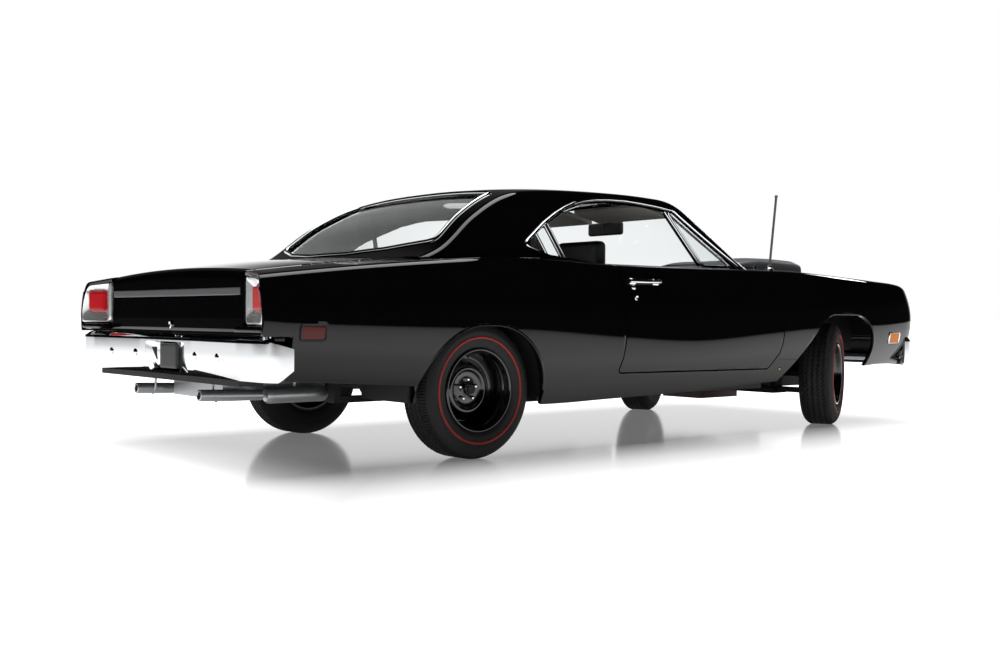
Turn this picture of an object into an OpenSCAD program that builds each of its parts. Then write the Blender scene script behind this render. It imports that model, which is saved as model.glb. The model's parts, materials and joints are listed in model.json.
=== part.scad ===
// Scale model of a two-door hardtop muscle car, millimetres.
// X points forward, Y to the car's left, Z up; the origin lies on the ground under the middle of the car.

/* [Overall] */
// Distance between the front and rear axles
wheelbase = 163.7; // [150:0.1:180]
// Front axle to the front bumper's face
front_overhang = 58; // [50:0.1:66]
// Rear axle to the rear bumper's face
rear_overhang = 68; // [58:0.1:76]
// Width over the body sides
body_width = 108; // [100:0.5:116]
// Ground to the top of the roof
roof_height = 76.5; // [72:0.5:82]
// Distance between the wheel middles across the car
track = 84; // [80:0.5:88]

/* [Panels] */
// Thickness of the body's cast walls
wall = 1.6; // [1.2:0.1:2]
// Thickness of a door
door_wall = 3.6; // [3:0.1:4.5]
// Shut line round the doors, hood and trunk lid
gap = 0.45; // [0.35:0.05:0.7]
// Thickness of the window glass
glass = 0.8; // [0.6:0.1:1.2]
// Space round glass, lamps and trim in their openings
seat_gap = 0.15; // [0.1:0.05:0.25]
// Rounding of the shoulder line
shoulder_r = 2.6; // [1.5:0.1:3.5]

/* [Wheels] */
// Tyre diameter
tyre_d = 36.4; // [34:0.2:38]
// Tyre width
tyre_w = 11.6; // [10:0.2:12.4]
// Wheel rim diameter at the lip
rim_d = 21.6; // [19:0.2:24]
// Rest angle of the front wheels, to the left
steer_rest = 25; // [0:1:28]
// Kingpin to the middle of the front wheel
kingpin_offset = 5.5; // [5:0.1:7]
// Radius of the axle ends
axle_r = 1.2; // [1:0.05:1.5]

/* [Hinges] */
// Door edge to the hinge pin, along the car
hinge_reach = 8; // [7:0.1:10]
// Skin to the hinge pin, into the car
hinge_depth = 2.3; // [2.2:0.1:3]
// Radius of the hinge pins
hinge_pin_r = 0.8; // [0.6:0.05:1]

/* [Fits] */
// Radial space of a pin in its hole
run_fit = 0.06; // [0.03:0.01:0.1]
// Radius of the display-screw holes under the chassis
screw_r = 1.3; // [1:0.05:1.6]

/* [Show] */
// Piece to build

/* [Hidden] */
$fn = 40;
big = 200;

// The drawing grid: tables below hold places read off a drawing whose axles, width and roof stand here;
// X, Y and Z carry a place on the drawing to the car at its set sizes.
draw_rear = -77.5;
draw_front = 86.2;
car_length = front_overhang + wheelbase + rear_overhang;
front_x = car_length / 2 - front_overhang;
rear_x = front_x - wheelbase;
axle_z = tyre_d / 2;
function X(x) = x < draw_rear ? rear_x + (x - draw_rear) * rear_overhang / (draw_rear - draw_tail)
    : x > draw_front ? front_x + (x - draw_front) * front_overhang / (draw_nose - draw_front)
    : rear_x + (x - draw_rear) * wheelbase / (draw_front - draw_rear);
function Y(y) = y * body_width / draw_width;
function Z(z) = z * roof_height / draw_roof;
function P(pts) = [for (p = pts) [X(p[0]), Z(p[1])]];
function Q(pts) = [for (p = pts) [X(p[0]), Y(p[1])]];

// Body stations: x, half width, height of the widest line, shoulder height, height on the centre line,
// lean-in at the shoulder, lower edge
BODY = [[-144.4, 53.2, 36.5, 46.6, 48.2, 2.4, 22.8],
    [-138.0, 53.4, 36, 47.4, 49.4, 2.5, 22.4],
    [-118.0, 53.8, 35.4, 49.6, 52.0, 2.7, 21.2],
    [-98.0, 54.0, 35, 51.5, 53.6, 3.0, 19.8],
    [-77.0, 54.0, 35, 53.2, 54.6, 3.4, 15],
    [-58.0, 53.7, 34.2, 53.8, 54.4, 3.7, 13.8],
    [-29.0, 53.2, 32, 53.0, 54.2, 3.4, 14.2],
    [5.0, 53.3, 30.4, 53.2, 54.4, 3.2, 15],
    [42.0, 53.6, 33, 53.7, 55.2, 3.2, 16.6],
    [60.0, 53.7, 34.4, 53.8, 56.0, 3.2, 17.4],
    [86.0, 53.5, 35.4, 52.9, 55.4, 3.0, 19.5],
    [112.0, 52.2, 36, 51.9, 53.8, 2.7, 21.2],
    [129.0, 50.4, 37, 51.2, 52.6, 2.4, 21.2],
    [136.0, 49.0, 37.6, 50.0, 51.2, 2.4, 21.6],
    [139.0, 47.4, 38, 47.6, 48.8, 2.4, 24]];
tuck = 4.2;

// Roof stations: x, half width at the belt, half width at the fold, height of the fold,
// height on the centre line
ROOF = [[-100, 46, 43, 50.6, 51.6],
    [-88, 47.4, 44.6, 54.2, 58.2],
    [-76, 48.2, 42.8, 62.4, 66.6],
    [-63, 48.6, 40.2, 69.8, 73.6],
    [-50, 48.6, 38.9, 72.6, 75.6],
    [-25, 48.2, 38.3, 73.8, 76.5],
    [0, 48.0, 37.8, 73.8, 76.4],
    [11, 48.0, 37.4, 72.6, 75.6],
    [20, 48.0, 40.2, 66.6, 71.2],
    [30, 48.0, 44.2, 58.8, 64.2],
    [37, 48.0, 46.4, 53.6, 59.0],
    [46, 48.0, 47.2, 49.0, 51.4]];
// Ends, width and top of the drawing: the bumpers' faces stand out past the end stations
draw_tail = BODY[0][0] - 1.1;
draw_nose = BODY[len(BODY) - 1][0] + 5.2;
draw_width = 2 * max([for (b = BODY) b[1]]);
draw_roof = max([for (r = ROOF) r[4]]);
roof_base = 45;
roof_r = 2.4;
crown = 2.4;

function seg(t, x) = max([0, for (k = [1:len(t) - 2]) if (x >= t[k][0]) k]);
function slope(t, c, i) = let(a = max(i - 1, 0), b = min(i + 1, len(t) - 1))
    (t[b][c] - t[a][c]) / (t[b][0] - t[a][0]);
function at(t, c, x) = let(i = seg(t, x), h = t[i + 1][0] - t[i][0], u = (x - t[i][0]) / h)
    (2 * pow(u, 3) - 3 * u * u + 1) * t[i][c] + (pow(u, 3) - 2 * u * u + u) * h * slope(t, c, i)
    + (3 * u * u - 2 * pow(u, 3)) * t[i + 1][c] + (pow(u, 3) - u * u) * h * slope(t, c, i + 1);
function mix(a, b, u) = a + (b - a) * u;
function stations(t) = [for (i = [0:len(t) - 2], k = [0, 0.5]) mix(t[i][0], t[i + 1][0], k),
    t[len(t) - 1][0]];

// Half a body section at drawing place x, set in by d: from the lower edge round the side to the middle
function body_half(x, d) = let(w = Y(at(BODY, 1, x)) - d, zm = Z(at(BODY, 2, x)), zs = Z(at(BODY, 3, x)) - d,
    zc = Z(at(BODY, 4, x)) - d, lean = at(BODY, 5, x), zb = Z(at(BODY, 6, x)), r = shoulder_r)
    concat([[w - tuck, d > 0 ? zb - 9 : zb - 0.01]],
        [for (k = [0:3]) [w - tuck * pow(1 - k / 4, 2), mix(zb, zm, k / 4)]],
        [for (k = [0:4]) [w - lean * pow(k / 4, 2), mix(zm, zs - r, k / 4)]],
        [for (a = [30, 60, 90]) [w - lean - r + r * cos(a), zs - r + r * sin(a)]],
        [for (k = [3:-1:0]) [(w - lean - r) * k / 4, zs + (zc - zs) * (1 - pow(k / 4, 2))]]);
// Half a roof section at drawing place x, set in by d
function roof_half(x, d) = let(yb = Y(at(ROOF, 1, x)) - d, yt = Y(at(ROOF, 2, x)) - d,
    zt = Z(at(ROOF, 3, x)) - d, zc = Z(at(ROOF, 4, x)) - d, zb = Z(roof_base), r = roof_r)
    concat([[yb, zb - (d > 0 ? 9 : 1)]],
        [for (k = [0:4]) [mix(yb, yt, k / 4) + 0.5 * (1 - pow(k / 2 - 1, 2)), mix(zb, zt - r, k / 4)]],
        [for (a = [40, 80]) [yt - r + r * cos(a), zt - r + r * sin(a)]],
        [for (k = [4:-1:0]) let(s = k / 5) [(yt - r) * s, zt + (zc - zt) * (1 - pow(s, crown))]]);
function ring(x, half) = concat([for (p = half) [X(x), -p[0], p[1]]],
    [for (k = [len(half) - 2:-1:0]) [X(x), half[k][0], half[k][1]]]);

// Solid through a row of sections: each pair of neighbours spans one stretch
module loft(rings) {
    n = len(rings[0]);
    for (i = [0:len(rings) - 2]) hull() polyhedron(points = concat(rings[i], rings[i + 1]),
        faces = concat([[for (k = [n - 1:-1:0]) k], [for (k = [0:n - 1]) n + k]],
            [for (k = [0:n - 1]) [k, (k + 1) % n, n + (k + 1) % n, n + k]]));
}
module body_form(d = 0, ends = 0) {
    s = stations(BODY);
    t = ends > 0 ? [for (x = s) min(max(x, BODY[0][0] + ends), BODY[len(BODY) - 1][0] - ends)] : s;
    u = [for (i = [0:len(t) - 1]) if (i == 0 || t[i] > t[i - 1] + 0.01) t[i]];
    loft([for (x = u) ring(x, body_half(x, d))]);
}
module roof_form(d = 0) loft([for (x = stations(ROOF)) ring(x, roof_half(x, d))]);
module skin(t) difference() {
    body_form();
    body_form(t, wall);
}

// Solids pushed through the car: outlines seen from the side, from above and from behind
module right(y0, y1) rotate([90, 0, 0]) translate([0, 0, y0]) linear_extrude(y1 - y0) children();
module rounded(r) offset(r) offset(-r) children();
module both() { children(); mirror([0, 1, 0]) children(); }
module box(x0, x1, y0, y1, z0, z1) translate([x0, y0, z0]) cube([x1 - x0, y1 - y0, z1 - z0]);
module bar(a, b, r) translate(a) rotate([0, acos((b - a)[2] / norm(b - a)), atan2((b - a)[1], (b - a)[0])])
    cylinder(h = norm(b - a), r = r);
module place(x, y, z) translate([X(x), Y(y), Z(z)]) children();

// Outlines of the openings, on the drawing
DOOR = [[-26.6, 60], [-27.2, 48], [-27.6, 38], [-27.4, 31.7], [-28.1, 26.2], [-29.5, 21.9], [41.8, 21.5],
    [46.6, 26.8], [47.8, 32.2], [47.2, 44], [45.4, 50], [44.6, 60]];
WINDOW = [[-59.6, 57.4], [-50.0, 63.4], [-40.0, 68.4], [-31.2, 71.2], [-20.6, 72.4], [-5.6, 72.4], [7.6, 71.4],
    [31.6, 53.6], [10, 53.5], [-31, 53.2], [-50.6, 54.9]];
HOOD = [[52, 42.4], [91, 41.4], [119, 40], [133.8, 38.4], [135.4, 29], [136.4, 0]];
LID = [[-100, 38.4], [-116.6, 38.7], [-150, 38.4]];
door_top = 53.6;
lid_low = 33.4;
lid_front = -100;
tail_face = -141.3;

module door_outline(o) offset(delta = o) rounded(1) polygon(P(DOOR));
module window_outline(o) offset(delta = o) rounded(1.2) polygon(P(WINDOW));
module hood_outline(o) offset(delta = o) rounded(1.5) polygon(concat(Q(HOOD), [for (k = [len(HOOD) - 2:-1:0])
    [X(HOOD[k][0]), -Y(HOOD[k][1])]]));
module lid_plan(o) offset(delta = o) polygon(concat(Q(LID), [for (k = [len(LID) - 1:-1:0])
    [X(LID[k][0]), -Y(LID[k][1])]]));
module lid_rear(o) offset(delta = o) rounded(1.2) translate([-Y(38), Z(lid_low)]) square([2 * Y(38), 40]);
module rear_arch() {
    r = tyre_d / 2 + 1.4;
    hull() for (u = [-1, 1]) translate([rear_x - 1.8 + 1.8 * u, Z(35.6) - r]) circle(r, $fn = 48);
    translate([rear_x - 1.8 - 1.8 - r, -5]) square([2 * r + 3.6, Z(35.6) - r + 5]);
}
module front_arch() {
    r = 13.6;
    hull() {
        for (u = [-1, 1]) translate([front_x - 0.5 + 6.9 * u, Z(39.7) - r]) circle(r, $fn = 44);
        translate([front_x - 37.4, Z(15.4)]) circle(0.4, $fn = 12);
        translate([front_x + 14.8, Z(18)]) circle(0.4, $fn = 12);
    }
    translate([front_x - 38, -6]) square([52.8, Z(15.4) + 6]);
}
// A tilted window opening, wide at the bottom: from (xb, zb) low to (xt, zt) high on the centre line
module tilted(xb, zb, xt, zt, low, wt, o, depth) {
    run = norm([X(xt) - X(xb), Z(zt) - Z(zb)]);
    back = (X(xt) - X(xb)) / run;
    up = (Z(zt) - Z(zb)) / run;
    translate([X(xb), 0, Z(zb)]) multmatrix([[0, back, -up, 0], [1, 0, 0, 0], [0, up, back, 0], [0, 0, 0, 1]])
        translate([0, 0, -depth]) linear_extrude(2 * depth) offset(delta = o) rounded(2)
        polygon(concat([for (k = [len(low) - 1:-1:0]) [-Y(low[k][0]), low[k][1]]],
            [for (q = low) [Y(q[0]), q[1]]], [[Y(wt), run], [-Y(wt), run]]));
}
module windshield_cut(o) tilted(43.7, 54.7, 12.3, 75.1, [[45, 0]], 33.6, o, 9);
module rear_cut(o) tilted(-94.3, 54.6, -62.2, 74.2, [[10, 0.4], [24, 3], [38.2, 9]], 32.2, o, 8);

hinge_x = 46.2;
hinge_y = Y(53.6) - hinge_depth;
function hinge_at(z) = [X(hinge_x) + hinge_reach, -hinge_y, Z(z)];
hinge_z = [28, 40];
lid_pin = [X(lid_front) + hinge_reach - 2, Z(53.6) - hinge_depth];
lid_hinge_y = 26;

// Body
// The ends of the rear quarters slant in to the lid; a tail band is a block between two depths behind that slant
lamp_in = 39.2;
function tail_x(y) = mix(tail_face, -144.5, (y - 39.4) / 13.3);
module tail_band(y0, y1, a, b, z0, z1) translate([0, 0, Z(z0)]) linear_extrude(Z(z1) - Z(z0))
    polygon(Q([[tail_x(y0) + a, y0], [tail_x(y1) + a, y1], [tail_x(y1) + b, y1], [tail_x(y0) + b, y0]]));
module tail_slant() tail_band(38, 52.7, -9, 0, 34.75, 70);
// The space of a tail lamp in the end of a rear quarter
module lamp_block(d) intersection() {
    body_form(d);
    box(X(-150), X(-139.9), Y(lamp_in), 80, Z(34.8), 80);
}
module body_shell() color([0.02, 0.02, 0.025]) difference() {
    union() {
        difference() {
            union() { body_form(); roof_form(); }
            body_form(wall, wall);
            roof_form(wall);
            for (s = [-1, 1]) scale([1, s, 1]) {
                right(Y(40), 80) intersection() {
                    door_outline(gap);
                    translate([-big, -big]) square([2 * big, big + Z(door_top)]);
                }
                right(Y(30), 80) window_outline(0);
                right(Y(28), 80) rear_arch();
                right(Y(26), 80) front_arch();
                right(Y(47), 80) marker_outline(FRONT_MARK, seat_gap);
                right(Y(47), 80) marker_outline(REAR_MARK, seat_gap);
            }
            both() {
                lamp_block(wall / 2);
                tail_slant();
            }
            translate([0, 0, Z(44)]) linear_extrude(60) hood_outline(gap);
            translate([0, 0, Z(45)]) linear_extrude(20) lid_plan(gap);
            translate([X(-150), 0, 0]) rotate([90, 0, 90]) linear_extrude(20) lid_rear(gap);
            box(X(-150), X(tail_face), -Y(39), Y(39), Z(33), 80);
            box(X(-150), X(tail_face) - 0.1, -80, 80, 0, Z(33.2));
            box(X(-150), X(-137), -80, 80, 0, Z(31.7));
            box(X(128.8), 200, -80, 80, 0, Z(31.1));
            windshield_cut(0);
            rear_cut(0);
            translate([X(136), 0, 0]) rotate([90, 0, 90]) linear_extrude(20) rounded(3)
                translate([-Y(45), Z(31)]) square([2 * Y(45), Z(15)]);
        }
        both() intersection() {
            for (z = hinge_z) translate(hinge_at(z) + [0, 0, -2.6]) hull() {
                cylinder(h = 2.4, r = 2, $fn = 28);
                translate([2, -2, 0]) cube([2, 2, 2.4]);
            }
            body_form();
        }
        both() translate([lid_pin[0], Y(lid_hinge_y) + 1.2, lid_pin[1]]) rotate([-90, 0, 0]) hull() {
            cylinder(h = 2, r = 1.7, $fn = 28);
            translate([-0.9, -1.7, 0]) cube([1.8, 1, 2]);
        }
    }
    both() for (z = hinge_z) translate(hinge_at(z)) {
        translate([0, 0, -4]) cylinder(h = 6, r = hinge_pin_r + run_fit, $fn = 32);
        translate([0, 0, -0.2]) cylinder(h = 2.4, r = 1.52, $fn = 30);
    }
    both() translate([lid_pin[0], Y(lid_hinge_y) - 1.2, lid_pin[1]]) rotate([-90, 0, 0])
        cylinder(h = 2.4, r = 1.52, $fn = 30);
    both() translate([lid_pin[0], Y(lid_hinge_y), lid_pin[1]]) rotate([-90, 0, 0])
        cylinder(h = 6, r = hinge_pin_r + run_fit, $fn = 32);
}

// Doors
module door_half() intersection() {
    skin(door_wall);
    right(Y(45), 80) intersection() {
        door_outline(0);
        translate([-big, -big]) square([2 * big, big + Z(door_top) - 0.1]);
    }
}
module door_right() color([0.02, 0.02, 0.025]) door_half();
module door_left() color([0.02, 0.02, 0.025]) mirror([0, 1, 0]) door_half();
module dogleg(h) {
    r = hinge_reach + 1.9;
    rotate([0, 0, 88]) rotate_extrude(angle = 86) translate([r - 0.7, 0]) square([1.4, h]);
    rotate([0, 0, 88]) translate([0, -0.7, 0]) cube([r, 1.4, h]);
    cylinder(h = h, r = 1.3);
    translate([0, 0, -2.4]) cylinder(h = 3, r = hinge_pin_r);
}
module door_hinges_half() for (z = hinge_z) translate(hinge_at(z)) dogleg(2);
module door_hinges_right() color([0.3, 0.3, 0.3]) door_hinges_half();
module door_hinges_left() color([0.3, 0.3, 0.3]) mirror([0, 1, 0]) door_hinges_half();
module door_panel_half() intersection() {
    difference() { body_form(door_wall + 0.1); body_form(door_wall + 1.1); }
    right(Y(40), 80) rounded(2) polygon(P([[-24, 25], [-24, 47], [38, 47], [40, 34], [34, 25]]));
}
module door_panel_right() color([0.05, 0.05, 0.05]) door_panel_half();
module door_panel_left() color([0.05, 0.05, 0.05]) mirror([0, 1, 0]) door_panel_half();
module handle_half() {
    box(X(-24.4), X(-11), -Y(53.2), -Y(52.4), Z(47.4), Z(49));
    for (x = [-23.6, -13.4]) box(X(x), X(x) + 1.6, -Y(52.5), -Y(51.8), Z(47.6), Z(48.8));
}
module handle_right() color([0.8, 0.8, 0.82]) handle_half();
module handle_left() color([0.8, 0.8, 0.82]) mirror([0, 1, 0]) handle_half();
module vent_outline(o) offset(delta = o) polygon(P([[4.6, 70.9], [6.6, 70.8], [28.7, 54.3], [14.9, 54.3]]));
module vent_half() intersection() {
    difference() { roof_form(0.5); roof_form(0.5 + glass); }
    right(Y(30), 80) vent_outline(-seat_gap);
}
module vent_right() color([0.75, 0.8, 0.82, 0.5]) vent_half();
module vent_left() color([0.75, 0.8, 0.82, 0.5]) mirror([0, 1, 0]) vent_half();

// Hood and trunk lid
PINS = [[57, 35], [57, -35], [128.2, 32], [128.2, -32]];
module hood() color([0.05, 0.05, 0.055]) difference() {
    intersection() {
        skin(wall);
        translate([0, 0, Z(46)]) linear_extrude(60) hood_outline(0);
    }
    for (p = PINS) place(p[0], p[1], 40) cylinder(h = 40, r = 0.9, $fn = 24);
}
SCOOP = [[62, 56.2], [70, 59.0], [78, 60.4], [98, 60.2], [100.6, 59.4], [101, 54.6], [62, 55.0]];
module scoop_form(o) intersection() {
    right(-40, 40) offset(delta = -o) rounded(1) polygon(P(SCOOP));
    translate([0, 0, Z(40)]) linear_extrude(60) offset(delta = -o) rounded(2)
        polygon(Q([[62, -17], [80, -22], [104, -24], [104, 24], [80, 22], [62, 17]]));
}
module hood_scoop() color([0.13, 0.13, 0.14]) difference() {
    scoop_form(0);
    body_form(-0.05);
    box(X(84), X(106), -Y(20), Y(20), Z(50), Z(58.8));
}
module hood_pins() color([0.75, 0.75, 0.78]) for (p = PINS) place(p[0], p[1], 44) {
    cylinder(h = Z(57.6) - Z(44), r = 0.6);
    translate([0, 0, Z(57.6) - Z(44)]) sphere(r = 0.6);
}
module trunk_lid() color([0.02, 0.02, 0.025]) {
    intersection() {
        skin(wall);
        translate([0, 0, Z(45.2)]) linear_extrude(20) intersection() {
            lid_plan(0);
            translate([X(tail_face) + 0.7, -100]) square([X(lid_front) - X(tail_face) - 0.7, 200]);
        }
    }
    intersection() {
        body_form();
        translate([X(tail_face), 0, 0]) rotate([90, 0, 90]) linear_extrude(wall) lid_rear(0);
    }
}
module lid_hinges() color([0.3, 0.3, 0.3]) both() translate([lid_pin[0], Y(lid_hinge_y), lid_pin[1]])
    rotate([90, 0, 0]) translate([0, 0, -1]) mirror([0, 1, 0]) {
        r = hinge_reach + 0.6;
        rotate([0, 0, 98]) rotate_extrude(angle = 70) translate([r - 0.7, 0]) square([1.4, 2]);
        rotate([0, 0, 98]) translate([0, -0.7, 0]) cube([r, 1.4, 2]);
        cylinder(h = 2, r = 1.3);
        translate([0, 0, -2]) cylinder(h = 2.4, r = hinge_pin_r);
    }

// Outside trim
FRONT_MARK = [[116.8, 29.2], [125.2, 32.8]];
REAR_MARK = [[-135, 31.8], [-128.6, 35.1]];
module marker_outline(m, o) offset(delta = o) rounded(0.5) translate([X(m[0][0]), Z(m[0][1])])
    square([X(m[1][0]) - X(m[0][0]), Z(m[1][1]) - Z(m[0][1])]);
module marker(m) intersection() {
    difference() { body_form(0.1); body_form(1.4); }
    right(Y(46), 80) marker_outline(m, 0);
}
module front_markers() color([1, 0.5, 0.05]) both() marker(FRONT_MARK);
module rear_markers() color([0.6, 0.02, 0.02]) both() marker(REAR_MARK);
// A bumper blade that wraps the corners: its face falls back by low at the bottom and by high at the top,
// and its corners are swept back in the measure of sweep
function blade_ring(x0, x1, half, z, b, sweep) = let(s = sign(x1 - x0), h = half - 0.12 * b) [for (p = [[x0, -h],
    [x1 - (2.6 * sweep + b) * s, -h], [x1 - (0.8 * sweep + b) * s, -h * 0.92], [x1 - b * s, -h * 0.6],
    [x1 - b * s, h * 0.6], [x1 - (0.8 * sweep + b) * s, h * 0.92], [x1 - (2.6 * sweep + b) * s, h], [x0, h]])
    [X(p[0]), Y(p[1]), z]];
module bumper(x0, x1, half, deep, wrap, z0, z1, low, high, sweep) {
    s = sign(x1 - x0);
    difference() {
        loft([for (k = [0:8]) let(u = k / 8) blade_ring(x0, x1, half, Z(mix(z0, z1, u)),
            low * pow(max(0, 1 - u / 0.6), 2) + high * pow(max(0, (u - 0.7) / 0.3), 2), sweep)]);
        translate([0, 0, -1]) linear_extrude(200) polygon(Q([[x0 - 5 * s, -half + wrap],
            [x1 - (2 * sweep + deep) * s, -half + wrap], [x1 - deep * s, -half * 0.55],
            [x1 - deep * s, half * 0.55], [x1 - (2 * sweep + deep) * s, half - wrap], [x0 - 5 * s, half - wrap]]));
    }
}
module front_bumper() color([0.8, 0.8, 0.82]) bumper(128.9, draw_nose, 50.8, 6.5, 1.6, 20.6, 30.8, 5,
    1, 3.5);
// The rear blade is hollowed towards the middle, where the number plate lies in a dish with slanted ends
module rear_bumper() color([0.8, 0.8, 0.82]) difference() {
    bumper(-137.2, draw_tail, 54, 6, 1.5, 23.3, 31.4, 1.4, 1.2, 1);
    hull() for (q = [[23.2, 1.4], [28, 0]]) translate([0, 0, Z(q[0])]) linear_extrude(Z(q[0] == 28 ? 8 : 0.1))
        polygon(Q([[-150, -46], [-145.4 + q[1], -46], [-143.2 + q[1], -15], [-143.2 + q[1], 15], [-145.4 + q[1], 46],
            [-150, 46]]));
    hull() {
        box(X(-150), X(-143.1), -Y(11.4), Y(11.4), Z(23.9), Z(30.5));
        box(X(-141.3), X(-141.2), -Y(5), Y(5), Z(24.2), Z(30.2));
    }
    both() right(Y(50), 80) {
        polygon(P([[-143.6, 31.5], [-136, 29.5], [-136, 40], [-143.6, 40]]));
        polygon(P([[-141.3, 23], [-136, 26.8], [-136, 20], [-141.3, 20]]));
    }
}
module plates() color([0.1, 0.1, 0.1]) box(X(-142.2), X(-141.2) - 0.1, -Y(4.8), Y(4.8), Z(24.5), Z(29.9));
module grille() color([0.1, 0.1, 0.1]) {
    box(X(131.5), X(132.5), -Y(44.6), Y(44.6), Z(31.4), Z(45.6));
    for (z = [34, 37, 40, 43]) box(X(132), X(133.4), -Y(44), Y(44), Z(z) - 0.3, Z(z) + 0.3);
    box(X(132), X(134), -Y(0.8), Y(0.8), Z(31.8), Z(45.4));
}
module headlamps() color([0.85, 0.85, 0.85]) both() for (y = [27, 38]) place(133.5, y, 38.6)
    rotate([0, 90, 0]) cylinder(h = 2.4, r = 4.6);
module lamp_pocket() hull() {
    tail_band(40.6, 51.3, -9, 0.15, 35.9, 45.2);
    tail_band(42.8, 50.2, 1.4, 1.5, 38.5, 44);
}
module lamp_bezels() color([0.8, 0.8, 0.82]) both() difference() {
    lamp_block(wall / 2 + seat_gap);
    lamp_pocket();
    tail_slant();
    box(X(-150), 0, 0, Y(lamp_in) + seat_gap, 0, 80);
    box(X(-150), 0, 0, 80, 0, Z(34.8) + seat_gap);
    box(X(-139.9) - seat_gap, 0, 0, 80, 0, 80);
}
module lamp_lenses() color([0.6, 0.02, 0.03]) both()
    tail_band(43, 50, 0.5, 1.45, 38.7, 43.8);

// Glass
module windshield() color([0.75, 0.8, 0.82, 0.5]) intersection() {
    difference() { roof_form(0.4); roof_form(0.4 + glass); }
    windshield_cut(-seat_gap);
}
module rear_window() color([0.75, 0.8, 0.82, 0.5]) intersection() {
    difference() { roof_form(0.6); roof_form(0.6 + glass); }
    rear_cut(-seat_gap);
}
module quarter_half() intersection() {
    difference() { roof_form(0.5); roof_form(0.5 + glass); }
    right(Y(30), 80) intersection() {
        window_outline(-seat_gap);
        polygon(P([[-70, 50], [-44, 50], [-52, 70], [-70, 70]]));
    }
}
module quarter_windows() color([0.75, 0.8, 0.82, 0.5]) both() quarter_half();
module wipers() color([0.1, 0.1, 0.1]) for (y = [-24, 6]) {
    place(49, y, 55.7) cylinder(h = 1.2, r = 1);
    bar([X(49), Y(y), Z(56.4)], [X(46.5), Y(y + 20), Z(57)], 0.4);
}
module cabin_mirror() color([0.05, 0.05, 0.05]) {
    place(18.6, 0, 68) translate([-1, 0, 0]) rotate([90, 0, 90]) linear_extrude(2) rounded(1.2)
        square([Y(13.2), 4], center = true);
    bar([X(18.4), 0, Z(69)], [X(17), 0, Z(71.2)], 0.5);
}
module antenna() color([0.4, 0.4, 0.42]) {
    place(50.8, -45.4, 54.2) cylinder(h = 1.4, r = 1.2);
    bar([X(50.8), -Y(45.4), Z(55)], [X(54.2), -Y(45.4), Z(79.2)], 0.45);
}

// Under the car
// L carries a height on the drawing that hangs on the axles; the half widths leave room for the rear wheels
// and for the hinge arms
function L(z) = axle_z + z - 18.2;
between_wheels = track / 2 - tyre_w / 2 - 1.7;
between_hinges = hinge_y - hinge_reach - 3.3;
valance_top = min(L(22.3), Z(22.4) - 0.1);
SCREWS = [-48, 40];
module chassis() color([0.06, 0.06, 0.06]) difference() {
    union() {
        box(X(-56), X(46), -Y(46), Y(46), L(14.6), L(16.4));
        box(X(-138), X(-55), 6.5 - between_wheels, between_wheels - 6.5, L(21), L(22.6));
        box(X(-56.5), X(-55), 6.5 - between_wheels, between_wheels - 6.5, L(14.6), L(22.6));
        box(X(-143.4), X(-137), -Y(40), Y(40), valance_top - 1.4, valance_top);
        box(X(-138), X(-137), 6.5 - between_wheels, between_wheels - 6.5, valance_top - 1.4, L(22.6));
        box(X(46), X(130), -Y(21), Y(21), L(14.6), L(16.4));
        for (s = [-1, 1]) {
            box(X(46), X(130), s * Y(18) - 2, s * Y(18) + 2, L(12.4), L(15));
            box(X(-56), X(46), s * Y(24) - 2, s * Y(24) + 2, L(12.4), L(15));
        }
        for (x = SCREWS) translate([X(x), 0, L(12)]) cylinder(h = 3, r = 3.4);
    }
    for (x = SCREWS) place(x, 0, 0) cylinder(h = 40, r = screw_r);
    box(X(59.6), X(82), -Y(9.4), Y(9.4), L(14), L(17));
}
module engine() color([0.55, 0.12, 0.04]) {
    box(X(56), X(102), -Y(9), Y(9), L(18), Z(36));
    both() place(80, 9, 34) rotate([-35, 0, 0]) translate([-18, -5, -3]) cube([36, 10, 9]);
    box(X(60), X(81.6), -Y(9), Y(9), L(8.4), L(18.5));
    place(84, 0, 35) cylinder(h = Z(41.9) - Z(35), r = 4);
}
module air_cleaner() color([0.08, 0.08, 0.08]) place(84, 0, 42) cylinder(h = 5, r = 10);
module radiator() color([0.08, 0.08, 0.08]) {
    box(X(118), X(122), -Y(24.8), Y(24.8), L(16.6), Z(46));
    translate([X(116.4), 0, Z(31)]) rotate([0, 90, 0]) cylinder(h = X(119) - X(116.4), r = 11);
}
module engine_bay() color([0.06, 0.06, 0.06]) {
    box(X(49.5), X(51), -between_hinges, between_hinges, L(16.6), Z(47));
    both() box(X(50), X(131.4), Y(25), Y(26.4), Z(26), Z(44));
    both() box(X(52.5), X(62), Y(26), Y(46), Z(42.6), Z(44));
    both() box(X(50), X(53), Y(26), between_hinges, Z(42.6), Z(44));
    both() box(X(112), X(131.4), Y(26), Y(45), Z(42.6), Z(44));
}
module drive_shaft() color([0.4, 0.4, 0.4]) bar([X(-71.5), 0, L(18)], [X(-57), 0, L(17)], 1.6);
module rear_axle() color([0.08, 0.08, 0.08]) {
    translate([rear_x, 0, axle_z]) rotate([90, 0, 0]) cylinder(h = track - 8, r = 2.2, center = true);
    translate([rear_x, 0, axle_z]) rotate([90, 0, 0]) cylinder(h = track + 4, r = axle_r, center = true);
    difference() {
        translate([rear_x, 0, axle_z]) sphere(r = 5.4);
        box(rear_x - 20, rear_x + 20, -20, 20, L(20.8), 60);
    }
    both() {
        box(X(-108), X(-57), Y(22), Y(25), L(14.7), L(16.4));
        box(X(-108), X(-106), Y(22), Y(25), L(14.7), L(20.8));
    }
}
module fuel_tank() color([0.6, 0.6, 0.62]) box(X(-134), X(-104), -Y(14), Y(14), L(16), L(20.8));
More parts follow.
